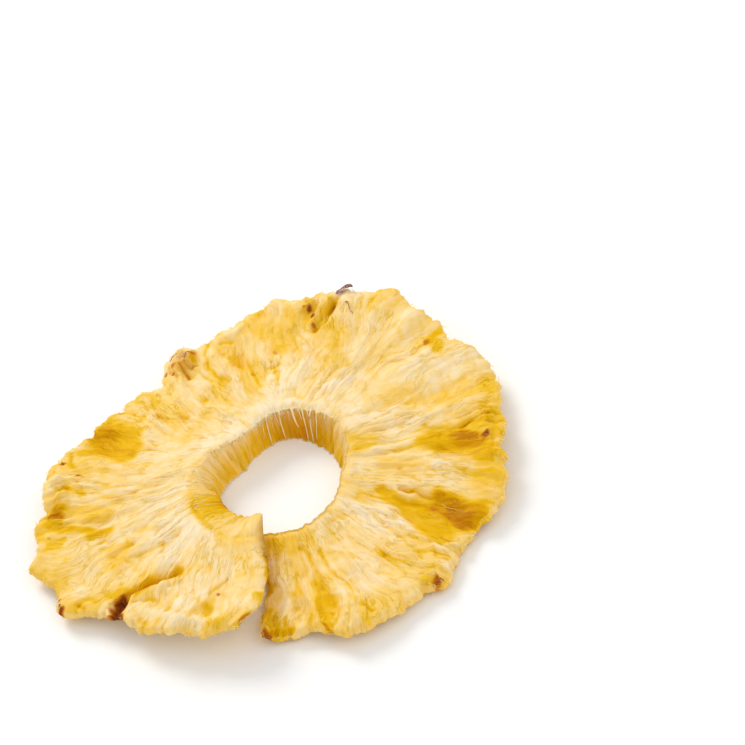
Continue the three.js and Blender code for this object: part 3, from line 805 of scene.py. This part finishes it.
def bottom_loop(sizes):
    across = np.linspace(1, 0, BOTTOM_STEPS + 1)[None, :]
    radius = lerp(sizes["foot_radius"], sizes["under_reach"], across)
    height = bottom_height(sizes, across, radius)
    height[:, -1:] = foot_of(sizes)
    return radius, height, across + 0 * radius


def wall_profile(sizes, parts):
    """Radius and height of the hole's wall, from its foot at 0 to its rim at 1."""
    foot_height = foot_of(sizes)
    rim_height = sizes["rim_height"] - flank_drop(sizes, sizes["rim_radius"])
    foot = (sizes["foot_radius"], foot_height)
    lowest_ledge = lerp(foot_height, rim_height, 0.35)
    ledge = (sizes["ledge_radius"], np.maximum(sizes["ledge_height"], lowest_ledge))
    rim = (sizes["rim_radius"], rim_height)
    middle = ((foot[0] + ledge[0]) / 2, (foot[1] + ledge[1]) / 2)
    bevel = ((ledge[0] + rim[0]) / 2, lerp(ledge[1], rim[1], BEVEL_PART))
    stations = (foot, middle, ledge, bevel, rim)
    radius = smooth_path([station[0] for station in stations], parts)
    height = smooth_path([station[1] for station in stations], parts)
    flutes = 0.20 * noise(sizes["angle"] / 2.3, parts * 1.2, 46)
    flutes = flutes + 0.10 * noise(sizes["angle"] / 1.1, parts * 2, 47)
    return radius + flutes * hump(np.clip(parts, 0, 1)) ** 0.4, height


def wall_loop(sizes):
    """The hole's wall, from just above its foot to just under its rim."""
    parts = (np.arange(1, WALL_STEPS) / WALL_STEPS)[None, :]
    radius, height = wall_profile(sizes, parts)
    return radius, height, 0 * radius


def placed(angle, radius, height, across):
    """Points in place, in millimetres, with a flank moved across the cut where it is near."""
    from_start, from_end = angle - CUT_START, CUT_END - angle
    nearness = 1 - smoothstep(0, CUT_LAP_SPAN, np.minimum(from_start, from_end))
    direction = np.where(from_start < from_end, 1.0, -1.0)
    moved = half_gap(across) + torn_flank(radius, direction)
    turned = np.radians(bent_angle(angle, across)) + direction * nearness * moved / radius
    x = HOLE_CENTRE[0] + radius * np.cos(turned)
    y = HOLE_CENTRE[1] + radius * np.sin(turned)
    return np.stack([x, y, height], axis=-1)


def flank_faces(radii, first, is_left):
    """One flank of the cut, closed between its upper and its lower chain of points."""
    faces = []
    meeting = TOP_STEPS + EDGE_STEPS // 2
    upper, lower = 0, len(radii) - 1
    while lower - upper > 1:
        upper_reach = radii[upper + 1] if upper < meeting else math.inf
        lower_reach = radii[lower - 1] if lower > meeting else math.inf
        takes_upper = upper_reach < lower_reach
        apex = upper + 1 if takes_upper else lower - 1
        corners = (upper, apex, lower) if is_left else (upper, lower, apex)
        faces.append([first + corner for corner in corners])
        upper, lower = (apex, lower) if takes_upper else (upper, apex)
    return faces


def flesh_surface():
    """The whole closed surface, and what its material needs to know at every point."""
    angle = np.linspace(CUT_START, CUT_END, SECTIONS)[:, None]
    sizes = section_sizes(angle)
    top = top_loop(sizes)
    bottom = bottom_loop(sizes)
    edge = edge_loop(sizes, top[1][:, -1:], bottom[1][:, :1])
    wall = wall_loop(sizes)
    radius, height, across = (np.concatenate(part, axis=1) for part in zip(top, edge, bottom, wall))
    counts = [TOP_STEPS + 1, EDGE_STEPS - 1, BOTTOM_STEPS + 1, WALL_STEPS - 1]
    zones = [TOP_ZONE, EDGE_ZONE, BOTTOM_ZONE, WALL_ZONE]
    zone = np.repeat(zones, counts)[None, :] + np.zeros_like(radius, int)
    return angle + 0 * radius, radius, height, across, zone, sizes


def golden_share(angle, radius, height, across, zone, sizes):
    """How clear and golden the flesh is: 0 is pale cream, 1 is deep amber. It also holds painted shade
    in the valleys, creases, fold slopes and down the hole's wall, and painted highlight on the ridges.
    """
    place = bent_angle(angle, across)
    share = 0.36 + 0.13 * noise(angle / 20, radius / 12, 61)
    share = share + 0.12 * noise(angle / 8, radius / 9, 62)
    share = share - 0.14 * (1 - smoothstep(0.0, 0.4, across)) + 0.10 * smoothstep(0.6, 1, across)
    # Painted shade and highlight: the flesh is painted more golden down in its wrinkle valleys,
    # crinkles, combed valleys and low fibre relief, and paler on their backs.
    shaded_valleys = 1 - smoothstep(0, 0.30, wrinkles(angle, radius))
    share = share + 0.28 * (shaded_valleys - 0.3) * wrinkled_share(angle, radius)
    combed = np.clip(mounds(COMBED_PLACES, place, radius), 0, 1)
    share = share - 0.22 * crinkle(angle, radius) * (1 - 0.8 * combed)
    shaded_ridge_valleys = 1 - smoothstep(0, 0.2, combed_ridges(angle, radius))
    share = share + combed * (0.06 + 0.40 * (shaded_ridge_valleys - 0.25))
    share = share - 0.10 * np.clip(fibre_relief(angle, radius, across), -1, 1)
    # Painted shade in the creases and painted highlight on the ridges, from their golden shares.
    share = share + 0.7 * crease_sum(place, radius, CREASE_GOLD_AND_SHADE)
    # Painted shade: the slope of each fold down to its line is painted more golden.
    for fold in FOLDS:
        part, side = fold_parts(fold, place, radius)
        ends = smoothstep(-0.1, 0.15, part) * (1 - smoothstep(0.8, 1.1, part))
        slope = bell(side, np.where(side < 0, fold[2], 0.4))
        share = share + 0.30 * ends * slope
    share = np.minimum(with_patches(share, place, radius), 0.97)
    from_rim = radius - sizes["rim_radius"]
    near_side = np.maximum(smoothstep(470, 500, angle), 1 - smoothstep(370, 400, angle))
    rim_reach = 1.0 + 1.8 * smoothstep(578, 592, angle)
    wall = follow(WALL_GOLD, angle)
    share = lerp(share, wall, 0.9 * near_side * bell(from_rim, rim_reach))
    # Painted shade: the wall is painted paler at its rim and more golden further down the hole.
    wall_depth = np.clip((sizes["rim_height"] - height) / 7, 0, 1)
    painted_wall_shade = 0.34 * smoothstep(0, 0.75, wall_depth) - 0.12
    wall = wall + painted_wall_shade + 0.12 * noise(angle / 3, height / 5, 64)
    edge = 0.42 + 0.12 * noise(angle / 4, height / 2, 65)
    share = np.where(zone == WALL_ZONE, wall, share)
    share = np.where(zone == EDGE_ZONE, lerp(share, edge, 0.5), share)
    return np.clip(share, 0, 1)


def brown_share(angle, radius, across, zone):
    """How brown the flesh is: browned at its specks, dark lines in some creases that are partly
    painted shadow, and painted shade on the hole's far wall.
    """
    place = bent_angle(angle, across)
    # Dark lines in the creases: partly real browning, partly painted shadow.
    share = 0.9 * crease_sum(place, radius, CREASE_BROWN_AND_SHADOW) + 0 * angle
    ragged = 0.35 * noise(angle / 1.3, radius / 0.9, 66)
    for centre_angle, centre_radius, half_size, amount in BROWN_PLACES:
        spot = (centre_angle, centre_radius, half_size, half_size)
        weight = place_weight(place, radius, spot, 0.35 + ragged, 1.15 + ragged)
        share = np.maximum(share, amount * weight)
    shown = np.where(zone <= EDGE_ZONE, np.clip(share, 0, 1), 0)
    # Painted shade: the far wall is painted brown where it faces away from the key light.
    wall = FAR_WALL_SHADE_SHARE * bell(angle - FAR_WALL_SHADE_ANGLE, FAR_WALL_SHADE_SPREAD)
    return np.where(zone == WALL_ZONE, wall, shown)


def new_mesh_object(name, points, faces):
    mesh = bpy.data.meshes.new(name)
    mesh.from_pydata(points, [], faces)
    mesh.update()
    mesh.polygons.foreach_set("use_smooth", np.ones(len(mesh.polygons), bool))
    piece = bpy.data.objects.new(name, mesh)
    bpy.context.scene.collection.objects.link(piece)
    return piece


def attach(piece, material):
    """A piece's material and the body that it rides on."""
    piece.data.materials.append(material)
    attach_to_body(piece, BODY)


def make_flesh(material):
    angle, radius, height, across, zone, sizes = flesh_surface()
    points = placed(angle, radius, height, across) * MM
    count = radius.shape[1]
    start = (np.arange(SECTIONS - 1) * count)[:, None]
    index = np.arange(count)[None, :]
    near, near_next = start + index, start + (index + 1) % count
    quads = np.stack([near, near_next, near_next + count, near + count], axis=-1).reshape(-1, 4)
    faces = quads.tolist()
    faces += flank_faces(radius[0], 0, False)
    faces += flank_faces(radius[-1], (SECTIONS - 1) * count, True)
    piece = new_mesh_object("ring_flesh", points.reshape(-1, 3), faces)
    attributes = {
        "golden": golden_share(angle, radius, height, across, zone, sizes),
        "brown": brown_share(angle, radius, across, zone),
        "fibre_turn": fibre_angle(angle, radius),
        "fibre_run": radius,
    }
    for name, values in attributes.items():
        attribute = piece.data.attributes.new(name, "FLOAT", "POINT")
        attribute.data.foreach_set("value", np.asarray(values, np.float32).ravel())
    attach(piece, material)
    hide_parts(NODE)


def linear(red, green, blue):
    """A linear colour from everyday 0 to 255 values."""
    channels = np.array([red, green, blue]) / 255
    curved = np.where(channels <= 0.04045, channels / 12.92, ((channels + 0.055) / 1.055) ** 2.4)
    return (*curved.tolist(), 1.0)


class Graph:
    """Short calls for making a material's nodes."""

    def __init__(self, name):
        self.material = bpy.data.materials.new(name)
        self.material.use_nodes = True
        self.nodes = self.material.node_tree.nodes
        self.links = self.material.node_tree.links
        self.shader = self.nodes["Principled BSDF"]

    def put(self, socket, value):
        if isinstance(value, bpy.types.NodeSocket):
            self.links.new(value, socket)
        else:
            socket.default_value = value

    def finish(self, settings):
        """Sets or links the shader's sockets, and gives the material."""
        for name, value in settings.items():
            self.put(self.shader.inputs[name], value)
        return self.material

    def position(self):
        return self.nodes.new("ShaderNodeNewGeometry").outputs["Position"]

    def attribute(self, name):
        node = self.nodes.new("ShaderNodeAttribute")
        node.attribute_name = name
        return node.outputs["Fac"]

    def math(self, operation, first, second=0.0, third=0.0, clamp=False):
        node = self.nodes.new("ShaderNodeMath")
        node.operation = operation
        node.use_clamp = clamp
        for socket, value in zip(node.inputs, (first, second, third)):
            self.put(socket, value)
        return node.outputs[0]

    def vector(self, x, y, z):
        node = self.nodes.new("ShaderNodeCombineXYZ")
        for socket, value in zip(node.inputs, (x, y, z)):
            self.put(socket, value)
        return node.outputs[0]

    def noise(self, vector, scale, detail):
        node = self.nodes.new("ShaderNodeTexNoise")
        self.put(node.inputs["Vector"], vector)
        node.inputs["Scale"].default_value = scale
        node.inputs["Detail"].default_value = detail
        node.inputs["Roughness"].default_value = 0.55
        return node.outputs["Fac"]

    def ramp(self, factor, tones):
        """Colours between tones of (position, everyday colour)."""
        node = self.nodes.new("ShaderNodeValToRGB")
        self.put(node.inputs["Fac"], factor)
        elements = node.color_ramp.elements
        while len(elements) < len(tones):
            elements.new(0.5)
        for element, (position, colour) in zip(elements, tones):
            element.position = position
            element.color = linear(*colour)
        return node.outputs["Color"]

    def blend(self, factor, first, second, kind="FLOAT"):
        node = self.nodes.new("ShaderNodeMix")
        node.data_type = kind
        self.put(node.inputs["Factor"], factor)
        self.put(node.inputs["A"], first)
        self.put(node.inputs["B"], second)
        return node.outputs["Result"]

    def smooth_range(self, value, low, high):
        node = self.nodes.new("ShaderNodeMapRange")
        node.interpolation_type = "SMOOTHSTEP"
        for name, setting in (("Value", value), ("From Min", low), ("From Max", high)):
            self.put(node.inputs[name], setting)
        return node.outputs["Result"]

    def tint(self, factor, colour, other):
        return self.blend(factor, colour, other, "RGBA")

    def bump(self, height, distance, strength):
        node = self.nodes.new("ShaderNodeBump")
        node.inputs["Distance"].default_value = distance
        node.inputs["Strength"].default_value = strength
        self.put(node.inputs["Height"], height)
        return node.outputs["Normal"]


def flesh_material():
    """Streaked dried flesh: cream to amber by the golden share, with painted shade as darker golden in
    the thin bump valleys and painted highlight on the raised threads.
    """
    graph = Graph("dried_flesh")
    turn, run = graph.attribute("fibre_turn"), graph.attribute("fibre_run")
    crumple = graph.math("SUBTRACT", graph.noise(graph.position(), 330, 2), 0.5)

    def streaks(per_degree, per_mm, detail, shift):
        x = graph.math("MULTIPLY_ADD", crumple, 2.2, graph.math("MULTIPLY", turn, per_degree))
        y = graph.math("MULTIPLY", run, per_mm)
        return graph.noise(graph.vector(x, y, shift), 1.0, detail)

    outward = graph.smooth_range(run, 19, 31)
    threads = graph.blend(outward, streaks(0.45, 0.20, 3, 0.0), streaks(0.80, 0.19, 3, 2.1))
    valley = graph.math("ABSOLUTE", graph.math("SUBTRACT", threads, 0.5))
    valley = graph.math("SUBTRACT", 1.0, graph.smooth_range(valley, 0.0, 0.035))
    patchy = graph.smooth_range(streaks(0.09, 0.13, 2, 6.0), 0.40, 0.62)
    valley = graph.math("MULTIPLY", valley, patchy)
    broad = graph.blend(outward, streaks(0.20, 0.09, 3, 4.0), streaks(0.42, 0.08, 3, 5.0))
    golden = graph.attribute("golden")
    calm = graph.smooth_range(golden, 0.60, 0.80)
    streaky = graph.math("MULTIPLY_ADD", calm, -0.16, 0.55)
    golden = graph.math("MULTIPLY_ADD", graph.math("SUBTRACT", broad, 0.5), streaky, golden)
    # Painted highlight and shade: the raised threads of the bump are painted paler, the hollows
    # between them more golden.
    golden = graph.math("MULTIPLY_ADD", graph.math("SUBTRACT", threads, 0.5), -0.30, golden)
    # Painted shade: the thin valleys of the bump are painted darker golden.
    valley_shade = graph.math("MULTIPLY_ADD", calm, -0.17, 0.24)
    golden = graph.math("MULTIPLY_ADD", valley, valley_shade, golden, clamp=True)
    colour = graph.ramp(golden, FLESH_TONES)
    hair = graph.blend(outward, streaks(1.3, 0.10, 2, 8.0), streaks(2.8, 0.10, 2, 9.0))
    paleness = graph.math("SUBTRACT", 1.0, graph.smooth_range(golden, 0.45, 0.85))
    hair_share = graph.math("MULTIPLY", graph.smooth_range(hair, 0.60, 0.76), 0.22)
    hair_share = graph.math("MULTIPLY", hair_share, paleness)
    colour = graph.tint(hair_share, colour, linear(255, 238, 190))
    grain = graph.noise(graph.vector(turn, run, 0.0), 1.7, 4)
    # The brown share holds real browned specks and painted shade: the far wall's brown and the crease
    # lines.
    brown_grain = graph.math("ADD", grain, 0.55)
    brown = graph.math("MULTIPLY", graph.attribute("brown"), brown_grain, clamp=True)
    colour = graph.tint(graph.smooth_range(brown, 0.0, 0.55), colour, linear(208, 126, 24))
    bark = graph.ramp(grain, [(0.35, (66, 20, 5)), (0.7, (172, 86, 18))])
    colour = graph.tint(graph.smooth_range(brown, 0.35, 1.0), colour, bark)
    height = graph.math("MULTIPLY_ADD", valley, -0.35, threads)
    height = graph.math("MULTIPLY_ADD", hair, 0.3, height)
    return graph.finish({
        "Base Color": colour,
        "Roughness": graph.math("MULTIPLY_ADD", golden, -0.25, 0.66),
        "Normal": graph.bump(height, 0.0005, 0.6),
        "Specular IOR Level": 0.05,
        "Subsurface Weight": 0.2,
        "Subsurface Radius": (1.0, 0.6, 0.15),
        "Subsurface Scale": 0.001,
    })


def fibre_material(name, darker, paler):
    """Dry fibre ends, between two everyday colours."""
    graph = Graph(name)
    tone = graph.noise(graph.position(), 900, 2)
    colour = graph.ramp(tone, [(0.35, darker), (0.65, paler)])
    return graph.finish({"Base Color": colour, "Roughness": 0.75, "Specular IOR Level": 0.1})


def skin_material(name, tones):
    """Papery dried skin with fine veins."""
    graph = Graph(name)
    place = graph.position()
    tone = graph.noise(place, 1500, 4)
    veins = graph.noise(place, 4200, 2)
    tone = graph.math("MULTIPLY_ADD", graph.math("SUBTRACT", veins, 0.5), 0.5, tone)
    return graph.finish({
        "Base Color": graph.ramp(tone, tones),
        "Normal": graph.bump(veins, 0.0002, 0.5),
        "Roughness": 0.6,
        "Specular IOR Level": 0.3,
    })


def floor_material():
    graph = Graph("pale_floor")
    speckle = graph.noise(graph.position(), 60, 3)
    colour = graph.ramp(speckle, [(0.3, (253, 253, 252)), (0.7, (255, 255, 255))])
    return graph.finish({"Base Color": colour, "Roughness": 0.7})


def unbent(place, across):
    """The section angle whose point at this part of the way out lies at a bent angle."""
    angle = np.asarray(place, float)
    for _ in range(8):
        angle = place - (bent_angle(angle, across) - angle)
    return np.clip(angle, CUT_START, CUT_END)


def on_top(angle, radius, lift):
    """Points on the upper face, lifted off it by some millimetres."""
    sizes = section_sizes(angle)
    across = (radius - sizes["rim_radius"]) / (sizes["top_reach"] - sizes["rim_radius"])
    across = np.clip(across, 0, 1)
    return placed(angle, radius, top_height(sizes, across, radius) + lift, across)


def on_wall(angle, part, inset):
    """Points on the hole's wall, from its foot at 0 to its rim at 1, inset into the hole."""
    radius, height = wall_profile(section_sizes(angle), part)
    return placed(angle, radius - inset, height, 0 * radius)


def strand_mesh(name, paths, thickness, material):
    """One mesh of many closed, tapering strands, each along its own path."""
    count, steps = paths.shape[:2]
    along = np.gradient(paths, axis=1)
    side = np.cross(along, np.array(STRAND_HELPER))
    side = side / np.linalg.norm(side, axis=-1, keepdims=True)
    lift = np.cross(side, along)
    lift = lift / np.linalg.norm(lift, axis=-1, keepdims=True)
    turn = np.linspace(0, 2 * np.pi, STRAND_SIDES, endpoint=False)[:, None]
    spokes = np.cos(turn) * side[:, :, None, :] + np.sin(turn) * lift[:, :, None, :]
    points = paths[:, :, None, :] + thickness[:, :, None, None] * spokes
    first = (np.arange(count) * steps * STRAND_SIDES)[:, None, None]
    ring = (np.arange(steps - 1) * STRAND_SIDES)[None, :, None]
    corner = np.arange(STRAND_SIDES)[None, None, :]
    near = first + ring + corner
    near_next = first + ring + (corner + 1) % STRAND_SIDES
    over, over_next = near + STRAND_SIDES, near_next + STRAND_SIDES
    faces = np.stack([near, over, over_next, near_next], axis=-1).reshape(-1, 4).tolist()
    start_caps = (first[:, 0] + corner[0]).tolist()
    last_ring = (steps - 1) * STRAND_SIDES
    end_caps = (first[:, 0] + last_ring + corner[0, :, ::-1]).tolist()
    piece = new_mesh_object(name, points.reshape(-1, 3) * MM, faces + start_caps + end_caps)
    attach(piece, material)


class Draw:
    """Seeded random values, one for each strand of a kind, and the parts along a strand."""

    def __init__(self, kind):
        seed, self.count, steps = STRANDS[kind]
        self.random = np.random.default_rng(seed)
        self.part = np.linspace(0, 1, steps)[None, :]

    def uniform(self, low, high):
        return self.random.uniform(low, high, (self.count, 1))

    def normal(self, middle, spread):
        return self.random.normal(middle, spread, (self.count, 1))


def make_edge_fibres(material):
    """Short torn fibres all round the outer edge."""
    draw = Draw("edge_fibres")
    part = draw.part
    angle = np.sort(draw.uniform(CUT_START + 0.4, CUT_END - 0.4), axis=0)
    sizes = section_sizes(angle)
    top = top_height(sizes, 1.0, sizes["top_reach"])
    bottom = bottom_height(sizes, 1.0, sizes["under_reach"])
    level = draw.uniform(0.15, 1.0)
    length = draw.uniform(0.25, 1.0) * draw.uniform(0.4, 1.0)
    lean = draw.normal(0, 0.9)
    rise = draw.normal(0.1, 0.5)
    radius = sizes["reach"] - 0.25 + length * (part - 0.25 * part ** 2)
    turn = angle + np.degrees(lean * length * part ** 1.5 / radius)
    turn = np.clip(turn, CUT_START, CUT_END)
    height = lerp(bottom, top, level) + rise * length * part ** 1.4
    paths = placed(turn, radius, np.maximum(height, 0.12), 1 + 0 * radius)
    root = draw.uniform(0.05, 0.12)
    strand_mesh("edge_fibres", paths, lerp(root, 0.3 * root, part), material)


def make_flank_fibres(material):
    """Torn fibres along both flanks of the cut."""
    draw = Draw("flank_fibres")
    part = draw.part
    over = draw.uniform(0, 1) < 0.65
    side = np.where(over, 1.0, -1.0)
    angle = np.where(over, CUT_END - 0.1, CUT_START + 0.1)
    start = draw.uniform(15.5, 41.5)
    length = draw.uniform(0.3, 1.1) * draw.uniform(0.4, 1.0)
    root = on_top(angle, np.maximum(start, section_sizes(angle)["rim_radius"] + 0.3), -0.15)
    turn = np.radians(bent_angle(angle, 0.5)) + draw.normal(0, 0.5)
    reach = side * length * part - 0.2 * side
    x, y = root[..., 0] - reach * np.sin(turn), root[..., 1] + reach * np.cos(turn)
    height = root[..., 2] - 0.35 * length * part ** 2 + draw.uniform(-0.3, 0.2) * part
    thickness = lerp(draw.uniform(0.05, 0.11), 0.02, part)
    strand_mesh("flank_fibres", np.stack([x, y, height], axis=-1), thickness, material)


def make_rim_shreds(material):
    """Shreds of core left standing along the hole's rim."""
    draw = Draw("rim_shreds")
    part = draw.part
    all_round = draw.uniform(390, 530)
    far_side = draw.normal(450, 24)
    angle = np.where(draw.uniform(0, 1) < 0.15, all_round, far_side)
    length = draw.uniform(0.3, 1.2)
    lean = draw.normal(0, 0.8)
    start = draw.uniform(-0.1, 0.5)
    radius = section_sizes(angle)["rim_radius"] + start - 0.45 * length * part
    turn = angle + np.degrees(lean * length * part / radius)
    arch = draw.uniform(0.1, 0.45) * hump(part)
    sizes = section_sizes(turn)
    height = sizes["rim_height"] + 0.45 - RIM_ROUNDING + arch - 0.6 * length * part ** 2
    paths = placed(turn, radius, height - flank_drop(sizes, radius), 0 * radius)
    root = draw.uniform(0.05, 0.14)
    strand_mesh("rim_shreds", paths, lerp(root, 0.4 * root, part), material)


def make_wall_strands(material):
    """Pale strands that hang down the wall of the hole, thick ones and thin ones."""
    draw = Draw("wall_strands")
    part = draw.part
    is_far = draw.uniform(0, 1) < 0.2
    on_far_wall = draw.uniform(396, 456)
    on_left_wall = draw.uniform(470, 556)
    thin_lowest, thin_half = draw.uniform(0.4, 0.85), draw.uniform(0.035, 0.075)
    thin = np.hstack([np.where(is_far, on_far_wall, on_left_wall), thin_lowest, thin_half])
    strands = np.vstack([THICK_STRANDS, thin])
    draw.count = len(strands)
    angle, lowest, half = strands[:, 0:1], strands[:, 1:2], strands[:, 2:3]
    sway = draw.normal(0, 1.8) * part
    sway = sway + draw.normal(0, 1.0) * hump(part)
    inset = 0.05 + half * hump(part) * draw.uniform(0.3, 1.0)
    paths = on_wall(angle + sway, lerp(1.0, lowest, part), inset)
    uneven = 1 + 0.25 * noise(part * 5, np.arange(draw.count)[:, None] * 3.7, 77)
    strand_mesh("wall_strands", paths, lerp(half, 0.4 * half, part) * uneven, material)


def make_loose_threads(material):
    """Fine loose threads lying along the fibres of the upper face."""
    draw = Draw("loose_threads")
    part = draw.part
    angle = draw.uniform(CUT_START + 3, CUT_END - 3)
    length = draw.uniform(1.5, 6.0)
    radius = draw.uniform(20, 37) + length * part
    drift = draw.normal(0, 0.8) * part
    turn = angle + drift + 0.8 * noise(part * 3, angle, 71)
    paths = on_top(turn, radius, draw.uniform(0.02, 0.14) * hump(part))
    root = draw.uniform(0.03, 0.06)
    strand_mesh("loose_threads", paths, lerp(root, 0.5 * root, part), material)


def sheet_mesh(name, grid, thickness, material):
    """A thin closed scrap from a grid of points, in millimetres."""
    rows, columns = grid.shape[:2]
    along, over = np.gradient(grid, axis=0), np.gradient(grid, axis=1)
    normal = np.cross(along, over)
    normal = normal / np.linalg.norm(normal, axis=-1, keepdims=True)
    points = np.stack([grid + normal * thickness / 2, grid - normal * thickness / 2])
    index = np.arange(points.shape[0] * rows * columns).reshape(2, rows, columns)
    faces = []
    for layer, order in ((0, (0, 1, 2, 3)), (1, (3, 2, 1, 0))):
        block = index[layer]
        corners = np.stack([block[:-1, :-1], block[1:, :-1], block[1:, 1:], block[:-1, 1:]], axis=-1)
        faces += corners[..., order].reshape(-1, 4).tolist()
    around = [(row, 0) for row in range(rows)]
    around += [(rows - 1, column) for column in range(1, columns)]
    around += [(row, columns - 1) for row in range(rows - 2, -1, -1)]
    around += [(0, column) for column in range(columns - 2, 0, -1)]
    for (row, column), (next_row, next_column) in zip(around, around[1:] + around[:1]):
        upper, upper_next = index[0, row, column], index[0, next_row, next_column]
        lower, lower_next = index[1, row, column], index[1, next_row, next_column]
        faces.append([int(upper_next), int(upper), int(lower), int(lower_next)])
    piece = new_mesh_object(name, points.reshape(-1, 3) * MM, faces)
    attach(piece, material)


def make_skin_scale(material):
    """A curled papery scale of the fruit's skin, left at the far edge."""
    part = np.linspace(0, 1, 12)[:, None]
    over = np.linspace(-1, 1, 7)[None, :]
    width = 0.75 * hump(0.12 + 0.86 * part) ** 0.8
    angle = SCALE_ANGLE + 3.1 - np.degrees(3.6 * part / SCALE_RADIUS)
    radius = SCALE_RADIUS + 0.9 * np.sin(0.5 * np.pi * part) + width * over - 0.8
    root = on_top(angle + 0 * radius, np.minimum(radius, SCALE_RADIUS + 0.4), 0 * radius)
    outward = np.stack([*flat_place(angle, 1.0), 0 * angle], axis=-1)
    excess = np.maximum(radius - SCALE_RADIUS - 0.4, 0)[..., None]
    curl = 0.12 + 0.62 * part + 0.5 * over ** 2 * (0.3 + 0.7 * part)
    grid = root + outward * excess
    grid[..., 2] = grid[..., 2] + curl
    sheet_mesh("skin_scale", grid, 0.09, material)


def make_skin_curls(material):
    """Dark dry curls: the long one beside the papery scale, and stubs by the wedge and edge."""
    paths, thickness = [], []
    part = np.linspace(0, 1, 9)
    for place, radius, turn, run, rise, root in SKIN_CURLS:
        angle = unbent(place + turn * part, 0.9)
        distance = radius + run * part + 0.35 * np.sin(2 * np.pi * part)
        paths.append(on_top(angle, distance, 0.12 + rise * hump(part)))
        thickness.append(lerp(root, 0.45 * root, part))
    strand_mesh("skin_curls", np.array(paths), np.array(thickness), material)


def make_floor():
    size, drop = 3.0, -0.00005
    corners = [(-size, -size, drop), (size, -size, drop), (size, size, drop), (-size, size, drop)]
    floor = new_mesh_object("floor", corners, [[0, 1, 2, 3]])
    floor.data.materials.append(floor_material())


def make_lights():
    for name, direction, size, power, colour in LIGHTS:
        data = bpy.data.lights.new(name, "AREA")
        data.shape = "DISK"
        data.size = size
        data.energy = power
        data.color = colour
        light = bpy.data.objects.new(name, data)
        bpy.context.scene.collection.objects.link(light)
        way = Vector(direction).normalized()
        light.location = way * LIGHT_DISTANCE
        light.rotation_euler = way.to_track_quat("Z", "Y").to_euler()
    world = bpy.data.worlds.new("studio")
    world.use_nodes = True
    background = world.node_tree.nodes["Background"]
    background.inputs["Color"].default_value = (1.0, 1.0, 1.0, 1.0)
    background.inputs["Strength"].default_value = SKY_STRENGTH
    bpy.context.scene.world = world


def make_camera():
    """The photograph's view, turned about its own axis and aimed so that the ring lands right."""
    elevation, roll = math.radians(CAMERA_ELEVATION), math.radians(CAMERA_ROLL)
    back = Vector((0, -math.cos(elevation), math.sin(elevation)))
    level_up = Vector((0, math.sin(elevation), math.cos(elevation)))
    right = Vector((1, 0, 0)) * math.cos(roll) - level_up * math.sin(roll)
    up = Vector((1, 0, 0)) * math.sin(roll) + level_up * math.cos(roll)
    target = Vector((HOLE_CENTRE[0] * MM, HOLE_CENTRE[1] * MM, RING_MID_HEIGHT))
    eye = target + back * CAMERA_DISTANCE
    metres_per_pixel = MM / PIXELS_PER_MM
    aim = target + right * (FRAME_MIDDLE - RING_PIXEL[0]) * metres_per_pixel
    aim = aim + up * (RING_PIXEL[1] - FRAME_MIDDLE) * metres_per_pixel
    axis = (eye - aim).normalized()
    side = up.cross(axis).normalized()
    above = axis.cross(side)
    data = bpy.data.cameras.new("camera")
    data.sensor_width = SENSOR_WIDTH
    data.lens = SENSOR_WIDTH * PIXELS_PER_MM * CAMERA_DISTANCE / MM / FRAME_PIXELS
    camera = bpy.data.objects.new("camera", data)
    bpy.context.scene.collection.objects.link(camera)
    turn = Matrix((side, above, axis)).transposed().to_4x4()
    camera.matrix_world = Matrix.Translation(eye) @ turn
    bpy.context.scene.camera = camera


make_camera()
make_lights()
make_floor()
make_flesh(flesh_material())
yellow_fibre = fibre_material("yellow_fibre", (252, 212, 112), (255, 230, 156))
white_fibre = fibre_material("white_fibre", (255, 230, 168), (255, 243, 206))
make_edge_fibres(yellow_fibre)
make_flank_fibres(yellow_fibre)
make_rim_shreds(white_fibre)
make_wall_strands(white_fibre)
make_loose_threads(yellow_fibre)
make_skin_scale(skin_material("mauve_skin", MAUVE_TONES))
make_skin_curls(skin_material("brown_skin", BROWN_TONES))
bpy.context.scene.view_settings.view_transform = "Standard"
